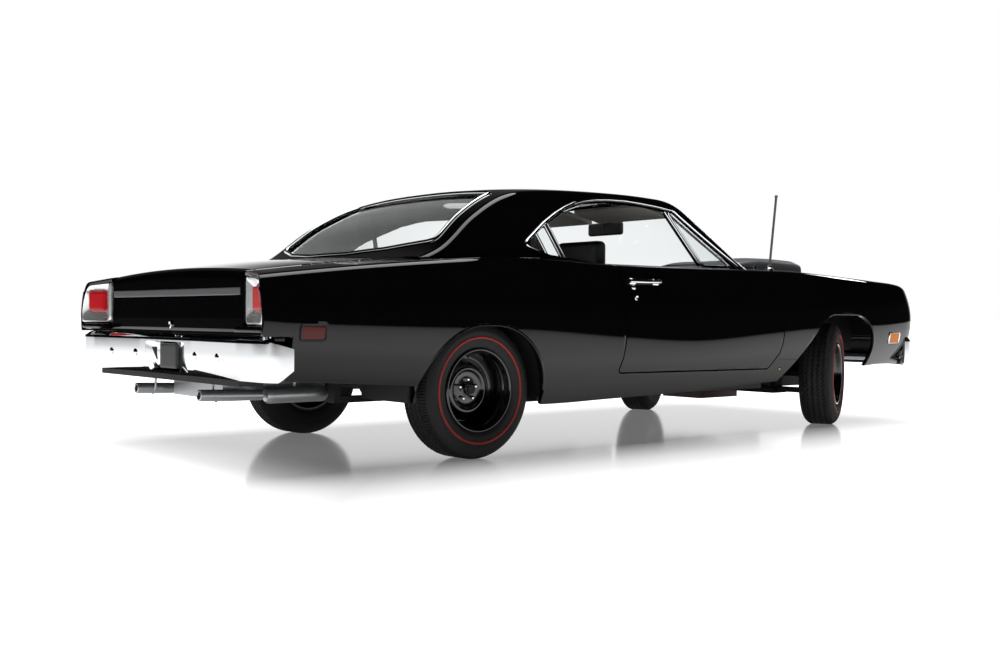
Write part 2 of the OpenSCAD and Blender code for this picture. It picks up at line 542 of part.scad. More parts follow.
module exhaust() color([0.65, 0.65, 0.67]) both() {
    difference() {
        bar([X(-142.4), Y(18.4), L(17.6)], [X(-124), Y(18.4), L(17)], 1.4);
        translate([X(-143), Y(18.4), L(17.6)]) rotate([0, 91.9, 0]) cylinder(h = 4, r = 1);
    }
    translate([X(-124.5), Y(18.4), L(17)]) rotate([0, 90, 0]) cylinder(h = 18, r = 2.6);
    translate([X(-115), Y(18.4), L(17)]) cylinder(h = 3.9, r = 0.8);
}
kingpin_y = track / 2 - kingpin_offset;
kingpin_r = 0.9;
arm_in = 5.5;
steer_max = 28;
module front_suspension() color([0.08, 0.08, 0.08]) difference() {
    union() {
        box(front_x - 4, front_x + 4, -Y(25), Y(25), L(10.4), L(12.3));
        for (z = [axle_z - 7.2, axle_z + 5.4]) both() {
            box(front_x - 2, front_x + 2, Y(22), kingpin_y, z, z + 1.8);
            translate([front_x, kingpin_y, z]) cylinder(h = 1.8, r = 2);
        }
        both() box(front_x - 2, front_x + 2, Y(22), Y(24.6), L(10.4), axle_z + 7.2);
    }
    both() translate([front_x, kingpin_y, 0]) cylinder(h = 60, r = kingpin_r + run_fit);
}
module knuckle(s) translate([front_x, s * kingpin_y, axle_z]) rotate([0, 0, steer_rest]) {
    translate([0, 0, -7.2]) cylinder(h = 14.4, r = kingpin_r);
    translate([0, 0, -5.2]) cylinder(h = 10.4, r = 1.9);
    rotate([-90 * s, 0, 0]) cylinder(h = kingpin_offset + 1.6, r = axle_r);
    translate([0, -1, -3.4]) cube([arm_in, 2, 1.6]);
    translate([arm_in, 0, -3.4]) cylinder(h = 1.6, r = 1);
    translate([arm_in, 0, -2]) cylinder(h = 1.8, r = 0.6);
}
module knuckle_right() color([0.1, 0.1, 0.1]) knuckle(-1);
module knuckle_left() color([0.1, 0.1, 0.1]) knuckle(1);
// The rod's eyes are slots, so that the arm pins can swing while the rod slides straight across
module tie_rod() color([0.1, 0.1, 0.1])
    translate([front_x, arm_in * sin(steer_rest), axle_z - 1.6]) difference() {
    x0 = arm_in * cos(steer_max);
    union() {
        translate([x0 - 0.4, -kingpin_y, 0]) cube([1.4, 2 * kingpin_y, 1.2]);
        for (s = [-1, 1]) translate([x0 - 1.7, s * kingpin_y - 1.5, 0]) cube([arm_in - x0 + 3.4, 3, 1.2]);
    }
    for (s = [-1, 1]) translate([x0 - 0.8, s * kingpin_y - 0.72, -1]) cube([arm_in - x0 + 1.6, 1.44, 4]);
}

// Inside
module interior_tub() color([0.05, 0.05, 0.05]) {
    box(X(-45), X(46), -Y(45.4), Y(45.4), L(16.6), L(18));
    box(X(-45), X(46), -Y(5), Y(5), L(17), L(23));
    box(X(-45.4), X(-44), -Y(45.4), Y(45.4), L(16.6), L(25.4));
    box(X(-92), X(-44), -between_wheels, between_wheels, L(24), L(25.4));
    box(X(-92), X(-90.6), -between_wheels, between_wheels, L(24), Z(46.4));
    box(X(-92), X(-79), -Y(40), Y(40), Z(45), Z(46.4));
}
module seat(x0, x1, xb, z0, z1, z2, half) {
    xf = mix(x0 + 4, xb + 3.4, (z1 - z0) / (z2 - z0));
    right(-half, half) rounded(1.5)
        polygon([[X(x0 - 1), z0], [X(x1), z0], [X(x1 + 0.6), z1], [X(xf), z1 - 1], [X(xb + 3.4), z2],
            [X(xb), z2]]);
}
module front_seat() color([0.05, 0.05, 0.05]) {
    difference() {
        seat(-7, 19, -15, L(18.1), L(30), Z(51), Y(38));
        box(X(-30), X(30), -Y(5.2), Y(5.2), L(17), L(23.2));
    }
    for (y = [-Y(20), Y(20)]) right(y - 9, y + 9) translate([X(-15.5), Z(50.5)]) rounded(1.3)
        square([4, 9.8]);
}
module rear_seat() color([0.05, 0.05, 0.05])
    seat(-70, -47, -78.1, L(25.5), L(33), Z(47), between_wheels - 0.5);
module dashboard() color([0.05, 0.05, 0.05]) {
    right(-Y(44.8), Y(44.8)) rounded(1.4)
        polygon(P([[33.6, 38], [42, 38], [42, 48.4], [36, 49.6], [33, 48.6]]));
    box(X(42), X(49.3), -Y(38), Y(38), Z(42), Z(46));
}
module steering_wheel() color([0.05, 0.05, 0.05]) place(25, 20, 46) rotate([0, -65, 0]) {
    rotate_extrude() translate([10, 0]) circle(r = 0.7);
    for (a = [0, 120, 240]) rotate([0, 0, a]) translate([0, -0.7, -0.5]) cube([9.6, 1.4, 1]);
    translate([0, 0, -8]) cylinder(h = 8.2, r = 1.2);
}

// Wheels
lug_ring = 2.75;
module rim_form() {
    for (k = [0:4]) rotate([0, 0, k * 72]) translate([lug_ring, 0, -0.4]) cylinder(h = 1.3, r = 0.6, $fn = 6);
    rotate_extrude() polygon([[axle_r + run_fit, 0], [5.2, 0], [6.6, -0.4], [8.2, -1.6], [8.9, -1.2],
    [9.3, 4.2], [rim_d / 2 - 0.3, 5], [rim_d / 2, 4.6], [rim_d / 2, -5], [9.6, -5], [9.3, -3.2], [5, -2.4],
    [axle_r + run_fit, -2.4]]);
}
module rim_at(x, y, s, a) translate([x, y, axle_z]) rotate([0, 0, a]) rotate([-90 * s, 0, 0]) rim_form();
tyre_r = 2.4;
module tyre_form() rotate_extrude() translate([rim_d / 2 + 0.05, 0]) {
    deep = (tyre_d - rim_d) / 2 - 0.05;
    translate([0, -tyre_w / 2]) square([deep - tyre_r, tyre_w]);
    translate([0, tyre_r - tyre_w / 2]) square([deep, tyre_w - 2 * tyre_r]);
    for (u = [-1, 1]) translate([deep - tyre_r, u * (tyre_w / 2 - tyre_r)]) circle(tyre_r);
}
module tyre_at(x, y, s, a) translate([x, y, axle_z]) rotate([0, 0, a]) rotate([-90 * s, 0, 0]) tyre_form();
function front_y(s) = s * (track / 2 - kingpin_offset) + s * kingpin_offset * cos(steer_rest);
function front_wheel_x(s) = front_x - s * kingpin_offset * sin(steer_rest);
module rim_front_right() color([0.03, 0.03, 0.03]) rim_at(front_wheel_x(-1), front_y(-1), -1, steer_rest);
module rim_front_left() color([0.03, 0.03, 0.03]) rim_at(front_wheel_x(1), front_y(1), 1, steer_rest);
module rim_rear_right() color([0.03, 0.03, 0.03]) rim_at(rear_x, -track / 2, -1, 0);
module rim_rear_left() color([0.03, 0.03, 0.03]) rim_at(rear_x, track / 2, 1, 0);
module tyre_front_right() color([0.06, 0.06, 0.06]) tyre_at(front_wheel_x(-1), front_y(-1), -1, steer_rest);
module tyre_front_left() color([0.06, 0.06, 0.06]) tyre_at(front_wheel_x(1), front_y(1), 1, steer_rest);
module tyre_rear_right() color([0.06, 0.06, 0.06]) tyre_at(rear_x, -track / 2, -1, 0);
module tyre_rear_left() color([0.06, 0.06, 0.06]) tyre_at(rear_x, track / 2, 1, 0);

body_shell();
door_right();
door_left();
door_hinges_right();
door_hinges_left();
door_panel_right();
door_panel_left();
handle_right();
handle_left();
vent_right();
vent_left();
hood();
hood_scoop();
hood_pins();
trunk_lid();
lid_hinges();
front_bumper();
rear_bumper();
plates();
grille();
headlamps();
lamp_bezels();
lamp_lenses();
front_markers();
rear_markers();
windshield();
rear_window();
quarter_windows();
wipers();
cabin_mirror();
antenna();
chassis();
engine();
air_cleaner();
radiator();
engine_bay();
drive_shaft();
rear_axle();
fuel_tank();
exhaust();
front_suspension();
knuckle_right();
knuckle_left();
tie_rod();
interior_tub();
front_seat();
rear_seat();
dashboard();
steering_wheel();
rim_front_right();
rim_front_left();
rim_rear_right();
rim_rear_left();
tyre_front_right();
tyre_front_left();
tyre_rear_right();
tyre_rear_left();
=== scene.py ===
import json
from math import cos, pi, radians, sin

import bmesh
import bpy
import numpy as np
from bpy.props import FloatProperty, FloatVectorProperty, IntProperty, PointerProperty
from mathutils import Matrix, Vector


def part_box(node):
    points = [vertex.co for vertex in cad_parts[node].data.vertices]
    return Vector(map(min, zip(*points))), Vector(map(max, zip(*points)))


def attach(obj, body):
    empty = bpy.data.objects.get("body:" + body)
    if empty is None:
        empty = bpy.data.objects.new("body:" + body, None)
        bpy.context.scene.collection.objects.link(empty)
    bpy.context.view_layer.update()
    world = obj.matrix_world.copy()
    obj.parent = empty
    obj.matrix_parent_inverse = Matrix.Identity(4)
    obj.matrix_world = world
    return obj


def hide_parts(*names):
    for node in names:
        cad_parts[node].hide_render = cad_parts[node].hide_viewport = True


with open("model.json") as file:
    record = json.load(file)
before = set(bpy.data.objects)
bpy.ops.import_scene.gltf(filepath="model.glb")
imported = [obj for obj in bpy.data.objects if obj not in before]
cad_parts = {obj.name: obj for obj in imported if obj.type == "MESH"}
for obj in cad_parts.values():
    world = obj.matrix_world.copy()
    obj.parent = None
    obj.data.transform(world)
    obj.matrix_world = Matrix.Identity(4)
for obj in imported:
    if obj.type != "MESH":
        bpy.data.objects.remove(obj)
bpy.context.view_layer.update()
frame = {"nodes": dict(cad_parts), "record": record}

bl_info = {
    "name": "Hardtop scale model",
    "version": (1, 0, 0),
    "blender": (4, 5, 0),
    "location": "View3D > Sidebar > Hardtop",
    "description": "Dresses the packed hardtop with paint, glass, bright trim and wheels in a white studio",
    "category": "Mesh",
}

MM = 0.001


def box_mm(node):
    """Lowest and highest corner of a solid, in millimetres."""
    return [np.array(corner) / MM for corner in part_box(node)]


def middle(node):
    """Centre of a solid, in millimetres."""
    low, high = box_mm(node)
    return (low + high) / 2


# The tables below hold places on a drawing whose rear axle stands at DRAW_REAR;
# SHIFT carries them to the frame.
DRAW_REAR = -77.5
SHIFT = middle("tyre_rear_right")[0] - DRAW_REAR
FRONT_X = 86.2 + SHIFT
REAR_X = DRAW_REAR + SHIFT
AXLE_Z = middle("tyre_rear_right")[2]

# Body stations: x, half width, height of the widest line, shoulder height, height on the centre line,
# lean-in at the shoulder, lower edge
BODY = np.array([
    (-144.4, 53.2, 36.5, 46.6, 48.2, 2.4, 22.8),
    (-138.0, 53.4, 36.0, 47.4, 49.4, 2.5, 22.4),
    (-118.0, 53.8, 35.4, 49.6, 52.0, 2.7, 21.2),
    (-98.0, 54.0, 35.0, 51.5, 53.6, 3.0, 19.8),
    (-77.0, 54.0, 35.0, 53.2, 54.6, 3.4, 15.0),
    (-58.0, 53.7, 34.2, 53.8, 54.4, 3.7, 13.8),
    (-29.0, 53.2, 32.0, 53.0, 54.2, 3.4, 14.2),
    (5.0, 53.3, 30.4, 53.2, 54.4, 3.2, 15.0),
    (42.0, 53.6, 33.0, 53.7, 55.2, 3.2, 16.6),
    (60.0, 53.7, 34.4, 53.8, 56.0, 3.2, 17.4),
    (86.0, 53.5, 35.4, 52.9, 55.4, 3.0, 19.5),
    (112.0, 52.2, 36.0, 51.9, 53.8, 2.7, 21.2),
    (129.0, 50.4, 37.0, 51.2, 52.6, 2.4, 21.2),
    (136.0, 49.0, 37.6, 50.0, 51.2, 2.4, 21.6),
    (139.0, 47.4, 38.0, 47.6, 48.8, 2.4, 24.0),
])
TUCK = 4.2

# Roof stations: x, half width at the belt, half width at the fold, height of the fold,
# height on the centre line
ROOF = np.array([
    (-100.0, 46.0, 43.0, 50.6, 51.6),
    (-88.0, 47.4, 44.6, 55.6, 58.4),
    (-76.0, 48.2, 42.8, 64.6, 66.8),
    (-63.0, 48.6, 40.2, 71.2, 73.2),
    (-50.0, 48.6, 38.9, 73.6, 75.7),
    (-25.0, 48.2, 38.3, 75.0, 77.5),
    (0.0, 48.0, 37.8, 75.2, 77.8),
    (12.2, 48.0, 37.4, 73.8, 76.6),
    (21.6, 48.0, 40.2, 67.2, 71.8),
    (31.7, 48.0, 44.2, 58.8, 64.2),
    (38.5, 48.0, 46.4, 53.6, 59.0),
    (46.0, 48.0, 47.2, 49.0, 51.4),
])
ROOF_BASE = 45.0
ROOF_R = 2.4
ROOF_CROWN = 2.4
ROOF_BULGE = 0.5

# Outlines on the drawing: door, window opening and vent pane from the side, hood and trunk lid from above
DOOR = [(-26.6, 60), (-27.2, 48), (-27.6, 38), (-27.4, 31.7), (-28.1, 26.2), (-29.5, 21.9), (41.8, 21.5),
        (46.6, 26.8), (47.8, 32.2), (47.2, 44), (45.4, 50), (44.6, 60)]
WINDOW = [(-59.6, 57.4), (-50.0, 63.4), (-40.0, 68.4), (-31.2, 71.2), (-20.6, 72.4), (-5.6, 72.3),
          (9.3, 71.2), (33.4, 53.6), (10, 53.5), (-31, 53.2), (-50.6, 54.9)]
VENT = [(6.3, 70.7), (8.2, 70.6), (30.4, 54.3), (16.4, 54.3)]
HOOD = [(52, 42.4), (91, 41.4), (119, 40), (133.8, 38.4), (135.4, 29), (136.4, 0)]
LID_HALF = 38.4
LID_FRONT = -100.0
LID_LOW = 33.4
TAIL_FACE = -141.3
TAIL_SLOPE = -3.2 / 13.3
LAMP_IN = 39.3
DOOR_TOP = 53.5


def tail_x(y):
    """Drawing place of the slanted end of a rear quarter at a half width."""
    return TAIL_FACE + (y - 39.4) * TAIL_SLOPE


def hermite(table, c, x):
    """Column c of a table of stations at the places x, by the curve that the solids follow."""
    t, v = table[:, 0], table[:, c]
    i = np.clip(np.searchsorted(t, x, side="right") - 1, 0, len(t) - 2)
    a = np.maximum(np.arange(len(t)) - 1, 0)
    b = np.minimum(np.arange(len(t)) + 1, len(t) - 1)
    slope = (v[b] - v[a]) / (t[b] - t[a])
    h = t[i + 1] - t[i]
    u = (x - t[i]) / h
    return ((2 * u**3 - 3 * u**2 + 1) * v[i] + (u**3 - 2 * u**2 + u) * h * slope[i]
            + (3 * u**2 - 2 * u**3) * v[i + 1] + (u**3 - u**2) * h * slope[i + 1])


def folded(side, low_slope, edge, top, centre, radius, power, t, marks):
    """Half a section at t from 0 to 1: its side, a rounded fold at (edge, top) and its crown.

    side(k, z) gives the side up to height z, low_slope(z) its lean there.
    """
    z = top - radius
    for _ in range(4):
        start = np.arctan(low_slope(z))
        z = top - radius + radius * np.sin(start)
    cy, cz = edge - radius * np.cos(start), top - radius
    end = np.full_like(start, pi / 2)
    for _ in range(4):
        ye, ze = cy + radius * np.cos(end), cz + radius * np.sin(end)
        end = pi / 2 - np.arctan(power * (centre - ze) / ye)
    ye, ze = cy + radius * np.cos(end), cz + radius * np.sin(end)
    y, z_side = side(np.clip(t / marks[0], 0, 1), z)
    a = start + (end - start) * np.clip((t - marks[0]) / (marks[1] - marks[0]), 0, 1)
    s = np.clip((1 - t) / (1 - marks[1]), 0, 1)
    return (np.select([t <= marks[0], t <= marks[1]], [y, cy + radius * np.cos(a)], ye * s),
            np.select([t <= marks[0], t <= marks[1]], [z_side, cz + radius * np.sin(a)],
                      ze + (centre - ze) * (1 - s**power)))


def body_section(x, t, inset=0.0):
    """Half width and height of the body's skin at the drawing places x and the section places t."""
    w, zm, zs, zc, lean, zb = (hermite(BODY, c, x) for c in range(1, 7))
    w, zs, zc = w - inset, zs - inset, zc - inset

    def side(k, top):
        low, high = np.clip(k / 0.54, 0, 1), np.clip((k - 0.54) / 0.46, 0, 1)
        y = np.where(k < 0.54, w - TUCK * (1 - low)**2, w - lean * high**2)
        return y, np.where(k < 0.54, zb + (zm - zb) * low, zm + (top - zm) * high)

    return folded(side, lambda z: 2 * lean / (z - zm), w - lean, zs, zc, settings().shoulder / MM, 2, t,
                  (0.42, 0.55))


def roof_section(x, t, inset=0.0):
    """Half width and height of the roof's skin at the drawing places x and the section places t."""
    yb, yt, zt, zc = (hermite(ROOF, c, x) for c in range(1, 5))
    yb, yt, zt, zc = yb - inset, yt - inset, zt - inset, zc - inset

    def side(k, top):
        return yb + (yt - yb) * k + ROOF_BULGE * (1 - (2 * k - 1)**2), ROOF_BASE + (top - ROOF_BASE) * k

    return folded(side, lambda z: (yb - yt + 4 * ROOF_BULGE) / (z - ROOF_BASE), yt, zt, zc, ROOF_R,
                  ROOF_CROWN, t, (0.38, 0.5))


def roof_at(x, z, inset=0.0):
    """Half width of the roof's side at one drawing place and height."""
    t = np.linspace(0, 0.5, 200)
    y, heights = roof_section(np.full(200, x), t, inset)
    return float(np.interp(z, heights, y))


def deck_height(x, y):
    """Height of the body's crown at the drawing places x and the half widths y."""
    t = np.linspace(0.5, 1, 160)
    out = np.empty_like(y)
    for i in np.ndindex(y.shape):
        ys, zs = body_section(np.full(160, x[i]), t)
        out[i] = np.interp(y[i], ys[::-1], zs[::-1])
    return out


def deck_at(x, y):
    """Height of the body's crown at one drawing place and half width."""
    return float(deck_height(np.array([x]), np.array([abs(y)]))[0])


# Shaping: every piece starts from a primitive


def settings():
    return bpy.context.scene.hardtop_sizes


def colours():
    return bpy.context.scene.hardtop_colours


def clear():
    bpy.ops.object.select_all(action="DESELECT")


def work_on(obj):
    clear()
    obj.select_set(True)
    bpy.context.view_layer.objects.active = obj
    return obj


def edited(obj, *steps):
    """Runs edit-mode steps on the whole of an object."""
    work_on(obj)
    bpy.ops.object.mode_set(mode="EDIT")
    bpy.ops.mesh.select_all(action="SELECT")
    for step in steps:
        step()
    bpy.ops.object.mode_set(mode="OBJECT")
    return obj


def modified(obj, kind, **values):
    """Adds a modifier, sets it and applies it."""
    work_on(obj)
    bpy.ops.object.modifier_add(type=kind)
    modifier = obj.modifiers[-1]
    for name, value in values.items():
        setattr(modifier, name, value)
    bpy.ops.object.modifier_apply(modifier=modifier.name)
    return obj


def joined(objs):
    work_on(objs[0])
    for obj in objs:
        obj.select_set(True)
    if len(objs) > 1:
        bpy.ops.object.join()
    return bpy.context.object


def doubles(size=0.02):
    return lambda: bpy.ops.mesh.remove_doubles(threshold=size * MM)


def outward():
    bpy.ops.mesh.normals_make_consistent(inside=False)


def surface(across, along, place):
    """A grid primitive whose points lie where place(u, v) puts them, in millimetres of the frame."""
    clear()
    bpy.ops.mesh.primitive_grid_add(x_subdivisions=across, y_subdivisions=along, size=1)
    obj = bpy.context.object
    co = np.empty(len(obj.data.vertices) * 3)
    obj.data.vertices.foreach_get("co", co)
    uv = co.reshape(-1, 3)[:, :2] + 0.5
    points = np.stack(np.broadcast_arrays(*place(uv[:, 0], uv[:, 1])), axis=1) * MM
    obj.data.vertices.foreach_set("co", points.ravel())
    obj.data.update()
    return obj


def half_skin(section, x0, x1, t0, t1, pitch, inset=0.0):
    """The right half of a skin between two drawing places, as an open sheet that faces outwards."""
    def place(u, v):
        x = x0 + (x1 - x0) * u
        y, z = section(x, t0 + (t1 - t0) * v, inset)
        return x + SHIFT, -y, z
    cells = max(6, round(abs(x1 - x0) / pitch))
    return surface(cells, max(6, round((t1 - t0) * 88 / pitch)), place)


def inside(outline, a, b):
    """Which points (a, b) lie in an outline."""
    hit = np.zeros(np.shape(a), bool)
    for (p, q), (r, s) in zip(outline, outline[1:] + outline[:1]):
        if q != s:
            hit ^= ((q > b) != (s > b)) & (a < (r - p) * (b - q) / (s - q) + p)
    return hit


SIDE = (Vector((1, 0, 0)), Vector((0, 0, 1)), Vector((0, 0, 0)))
PLAN = (Vector((1, 0, 0)), Vector((0, 1, 0)), Vector((0, 0, 0)))
REAR = (Vector((0, 1, 0)), Vector((0, 0, 1)), Vector((0, 0, 0)))


def trim(obj, outline, view, keep, where=None):
    """Cuts a skin along an outline seen in a view, and keeps what is inside it or what is outside.

    where(centre) limits the cut to some of the faces.
    """
    first, second, origin = view
    bm = bmesh.new()
    bm.from_mesh(obj.data)
    outline = [(a * MM, b * MM) for a, b in outline]
    reach = max((f.calc_perimeter() for f in bm.faces), default=0) / 2

    def seen(point):
        v = point - origin
        return v.dot(first), v.dot(second)

    for p, q in zip(outline, outline[1:] + outline[:1]):
        low = (min(p[0], q[0]) - reach, min(p[1], q[1]) - reach)
        high = (max(p[0], q[0]) + reach, max(p[1], q[1]) + reach)
        faces = []
        for f in bm.faces:
            centre = f.calc_center_median()
            a, b = seen(centre)
            if low[0] < a < high[0] and low[1] < b < high[1] and (where is None or where(centre)):
                faces.append(f)
        if faces:
            verts = {v for f in faces for v in f.verts}
            edges = {e for f in faces for e in f.edges}
            bmesh.ops.bisect_plane(bm, geom=list(verts) + list(edges) + faces, dist=1e-7,
                                   plane_co=origin + first * p[0] + second * p[1],
                                   plane_no=first * (q[1] - p[1]) - second * (q[0] - p[0]))
    doomed = []
    for f in bm.faces:
        centre = f.calc_center_median()
        if where is not None and not where(centre):
            if keep:
                doomed.append(f)
            continue
        a, b = seen(centre)
        if bool(inside(outline, a, b)) != keep:
            doomed.append(f)
    bmesh.ops.delete(bm, geom=doomed, context="FACES")
    bm.to_mesh(obj.data)
    bm.free()
    return obj


def rounded(outline, radius, steps=5):
    """An outline with its corners rounded off."""
    out = []
    n = len(outline)
    for i in range(n):
        p, c, q = (Vector(outline[k % n]) for k in (i - 1, i, i + 1))
        a, b = (p - c), (q - c)
        turn = a.angle(b)
        cut = min(radius / np.tan(turn / 2), 0.45 * a.length, 0.45 * b.length)
        s, e = c + a.normalized() * cut, c + b.normalized() * cut
        for k in range(steps + 1):
            u = k / steps
            out.append(tuple((1 - u)**2 * s + 2 * u * (1 - u) * c + u**2 * e))
    return out


def grown(outline, distance):
    """An outline set outwards by a distance, or inwards by a negative one."""
    n = len(outline)
    area = sum(p[0] * q[1] - q[0] * p[1] for p, q in zip(outline, outline[1:] + outline[:1]))
    sign = 1 if area > 0 else -1
    out = []
    for i in range(n):
        p, c, q = (Vector(outline[k % n]) for k in (i - 1, i, i + 1))
        d1, d2 = (c - p).normalized(), (q - c).normalized()
        n1, n2 = Vector((d1.y, -d1.x)) * sign, Vector((d2.y, -d2.x)) * sign
        m = (n1 + n2).normalized()
        out.append(tuple(c + m * distance / max(0.4, m.dot(n1))))
    return out


def moved(outline):
    """A drawing outline seen from the side or from above, in the frame."""
    return [(a + SHIFT, b) for a, b in outline]


def walled(obj, thickness, edge=0.12, lining=0):
    """Gives a skin its thickness inwards and softens its cut edges."""
    edited(obj, doubles(0.1), lambda: bpy.ops.mesh.dissolve_degenerate(threshold=0.05 * MM))
    modified(obj, "SOLIDIFY", thickness=thickness * MM, offset=-1, use_even_offset=False,
             material_offset=lining)
    if edge:
        modified(obj, "BEVEL", width=edge * MM, segments=2, limit_method="ANGLE", angle_limit=radians(60),
                 use_clamp_overlap=True)
    return obj


def mirrored(obj):
    """The piece and its reflection across the car, in one mesh."""
    return modified(obj, "MIRROR", use_axis=(False, True, False), use_clip=True, merge_threshold=0.01 * MM)


def reflection(obj):
    """A copy on the other side of the car."""
    work_on(obj)
    bpy.ops.object.duplicate()
    other = bpy.context.object
    other.data.transform(Matrix.Scale(-1, 4, (0, 1, 0)))
    other.data.flip_normals()
    return other


def finished(obj, name, material, body, replaces=(), angle=35):
    """Names a piece, gives it its finish and lets it ride on its body."""
    work_on(obj)
    bpy.ops.object.transform_apply(location=True, rotation=True, scale=True)
    bpy.ops.object.shade_smooth_by_angle(angle=radians(angle))
    obj.name = name
    obj.data.name = name
    materials = material if isinstance(material, (list, tuple)) else [material]
    while len(obj.data.materials) < len(materials):
        obj.data.materials.append(None)
    for i, m in enumerate(materials):
        obj.data.materials[i] = m
    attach(obj, body)
    if replaces:
        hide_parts(*replaces)
    return obj


def on_doors(obj, name, material, node=None):
    """Gives the right door a piece and the left door its reflection."""
    left = reflection(obj)
    for one, side in ((obj, "right"), (left, "left")):
        finished(one, name + "_" + side, material, side + "_door", [node + "_" + side] if node else ())


def turned(profile, centre, axis, steps=64):
    """A profile of (radius, place along the axis) in millimetres, spun about an axis through centre."""
    clear()
    bpy.ops.mesh.primitive_circle_add(vertices=len(profile), radius=1, fill_type="NOTHING")
    obj = bpy.context.object
    axis = Vector(axis).normalized()
    out = axis.orthogonal().normalized()
    centre = Vector(centre) * MM
    for v, (r, a) in zip(obj.data.vertices, profile):
        v.co = centre + (out * r + axis * a) * MM
    edited(obj, lambda: bpy.ops.mesh.spin(steps=steps, angle=2 * pi, center=centre, axis=axis),
           doubles(0.005), outward)
    return obj


def swept(path, profile, up, closed=False):
    """A closed profile of (out, up) places carried along a path of points, in millimetres."""
    path = [Vector(p) for p in path]
    n = len(path)
    rings = []
    for i, p in enumerate(path):
        a = path[(i - 1) % n] if closed or i else p
        b = path[(i + 1) % n] if closed or i < n - 1 else p
        forward = (b - a).normalized()
        lift = up(i) if callable(up) else Vector(up)
        across = forward.cross(lift).normalized()
        lift = across.cross(forward)
        rings.append([p + across * s + lift * h for s, h in profile])
    rings = np.array(rings)
    m = len(profile)
    spans = n if closed else n - 1

    def place(u, v):
        i = np.rint(u * spans).astype(int) % n
        k = np.rint(v * m).astype(int) % m
        return tuple(rings[i, k].T)

    obj = surface(spans, m, place)

    def caps():
        bpy.ops.mesh.select_all(action="DESELECT")
        bpy.ops.mesh.select_non_manifold()
        bpy.ops.mesh.edge_face_add()
        bpy.ops.mesh.select_all(action="SELECT")
    edited(obj, doubles(0.001), *(() if closed else (caps,)), outward)
    return obj


# Finishes


def linear(code):
    """Linear light values of an sRGB hex colour."""
    parts = [int(code[i:i + 2], 16) / 255 for i in (1, 3, 5)]
    return [c / 12.92 if c <= 0.04045 else ((c + 0.055) / 1.055)**2.4 for c in parts]


def add(tree, kind, inputs=None, links=None, **values):
    """Adds a node with its settings, its socket values and its links."""
    node = tree.nodes.new(kind)
    for name, value in values.items():
        setattr(node, name, value)
    for name, value in (inputs or {}).items():
        node.inputs[name].default_value = value
    for name, source in (links or {}).items():
        tree.links.new(source, node.inputs[name])
    return node


def finish(name, colour, **sockets):
    """A material with its colour and constant values on the shader's own sockets."""
    material = bpy.data.materials.new(name)
    material.use_nodes = True
    shader = material.node_tree.nodes["Principled BSDF"]
    shader.inputs["Base Color"].default_value = [*colour, 1]
    for socket, value in sockets.items():
        shader.inputs[socket.replace("_", " ")].default_value = value
    material.diffuse_color = [*colour, 1]
    return material


def grained(material, size, depth, strength=1.0, detail=2.0, rough=None):
    """A fine grain in the bump, in millimetres, and between two values in the roughness."""
    tree = material.node_tree
    shader = tree.nodes["Principled BSDF"]
    place = add(tree, "ShaderNodeTexCoord")
    noise = add(tree, "ShaderNodeTexNoise", {"Scale": 1 / (size * MM), "Detail": detail},
                {"Vector": place.outputs["Object"]})
    bump = add(tree, "ShaderNodeBump", {"Strength": strength, "Distance": depth * MM},
               {"Height": noise.outputs["Fac"]})
    tree.links.new(bump.outputs["Normal"], shader.inputs["Normal"])
    if rough:
        spread = add(tree, "ShaderNodeMapRange", {"To Min": rough[0], "To Max": rough[1]},
                     {"Value": noise.outputs["Fac"]})
        tree.links.new(spread.outputs["Result"], shader.inputs["Roughness"])
    return material


FINISHES = {}


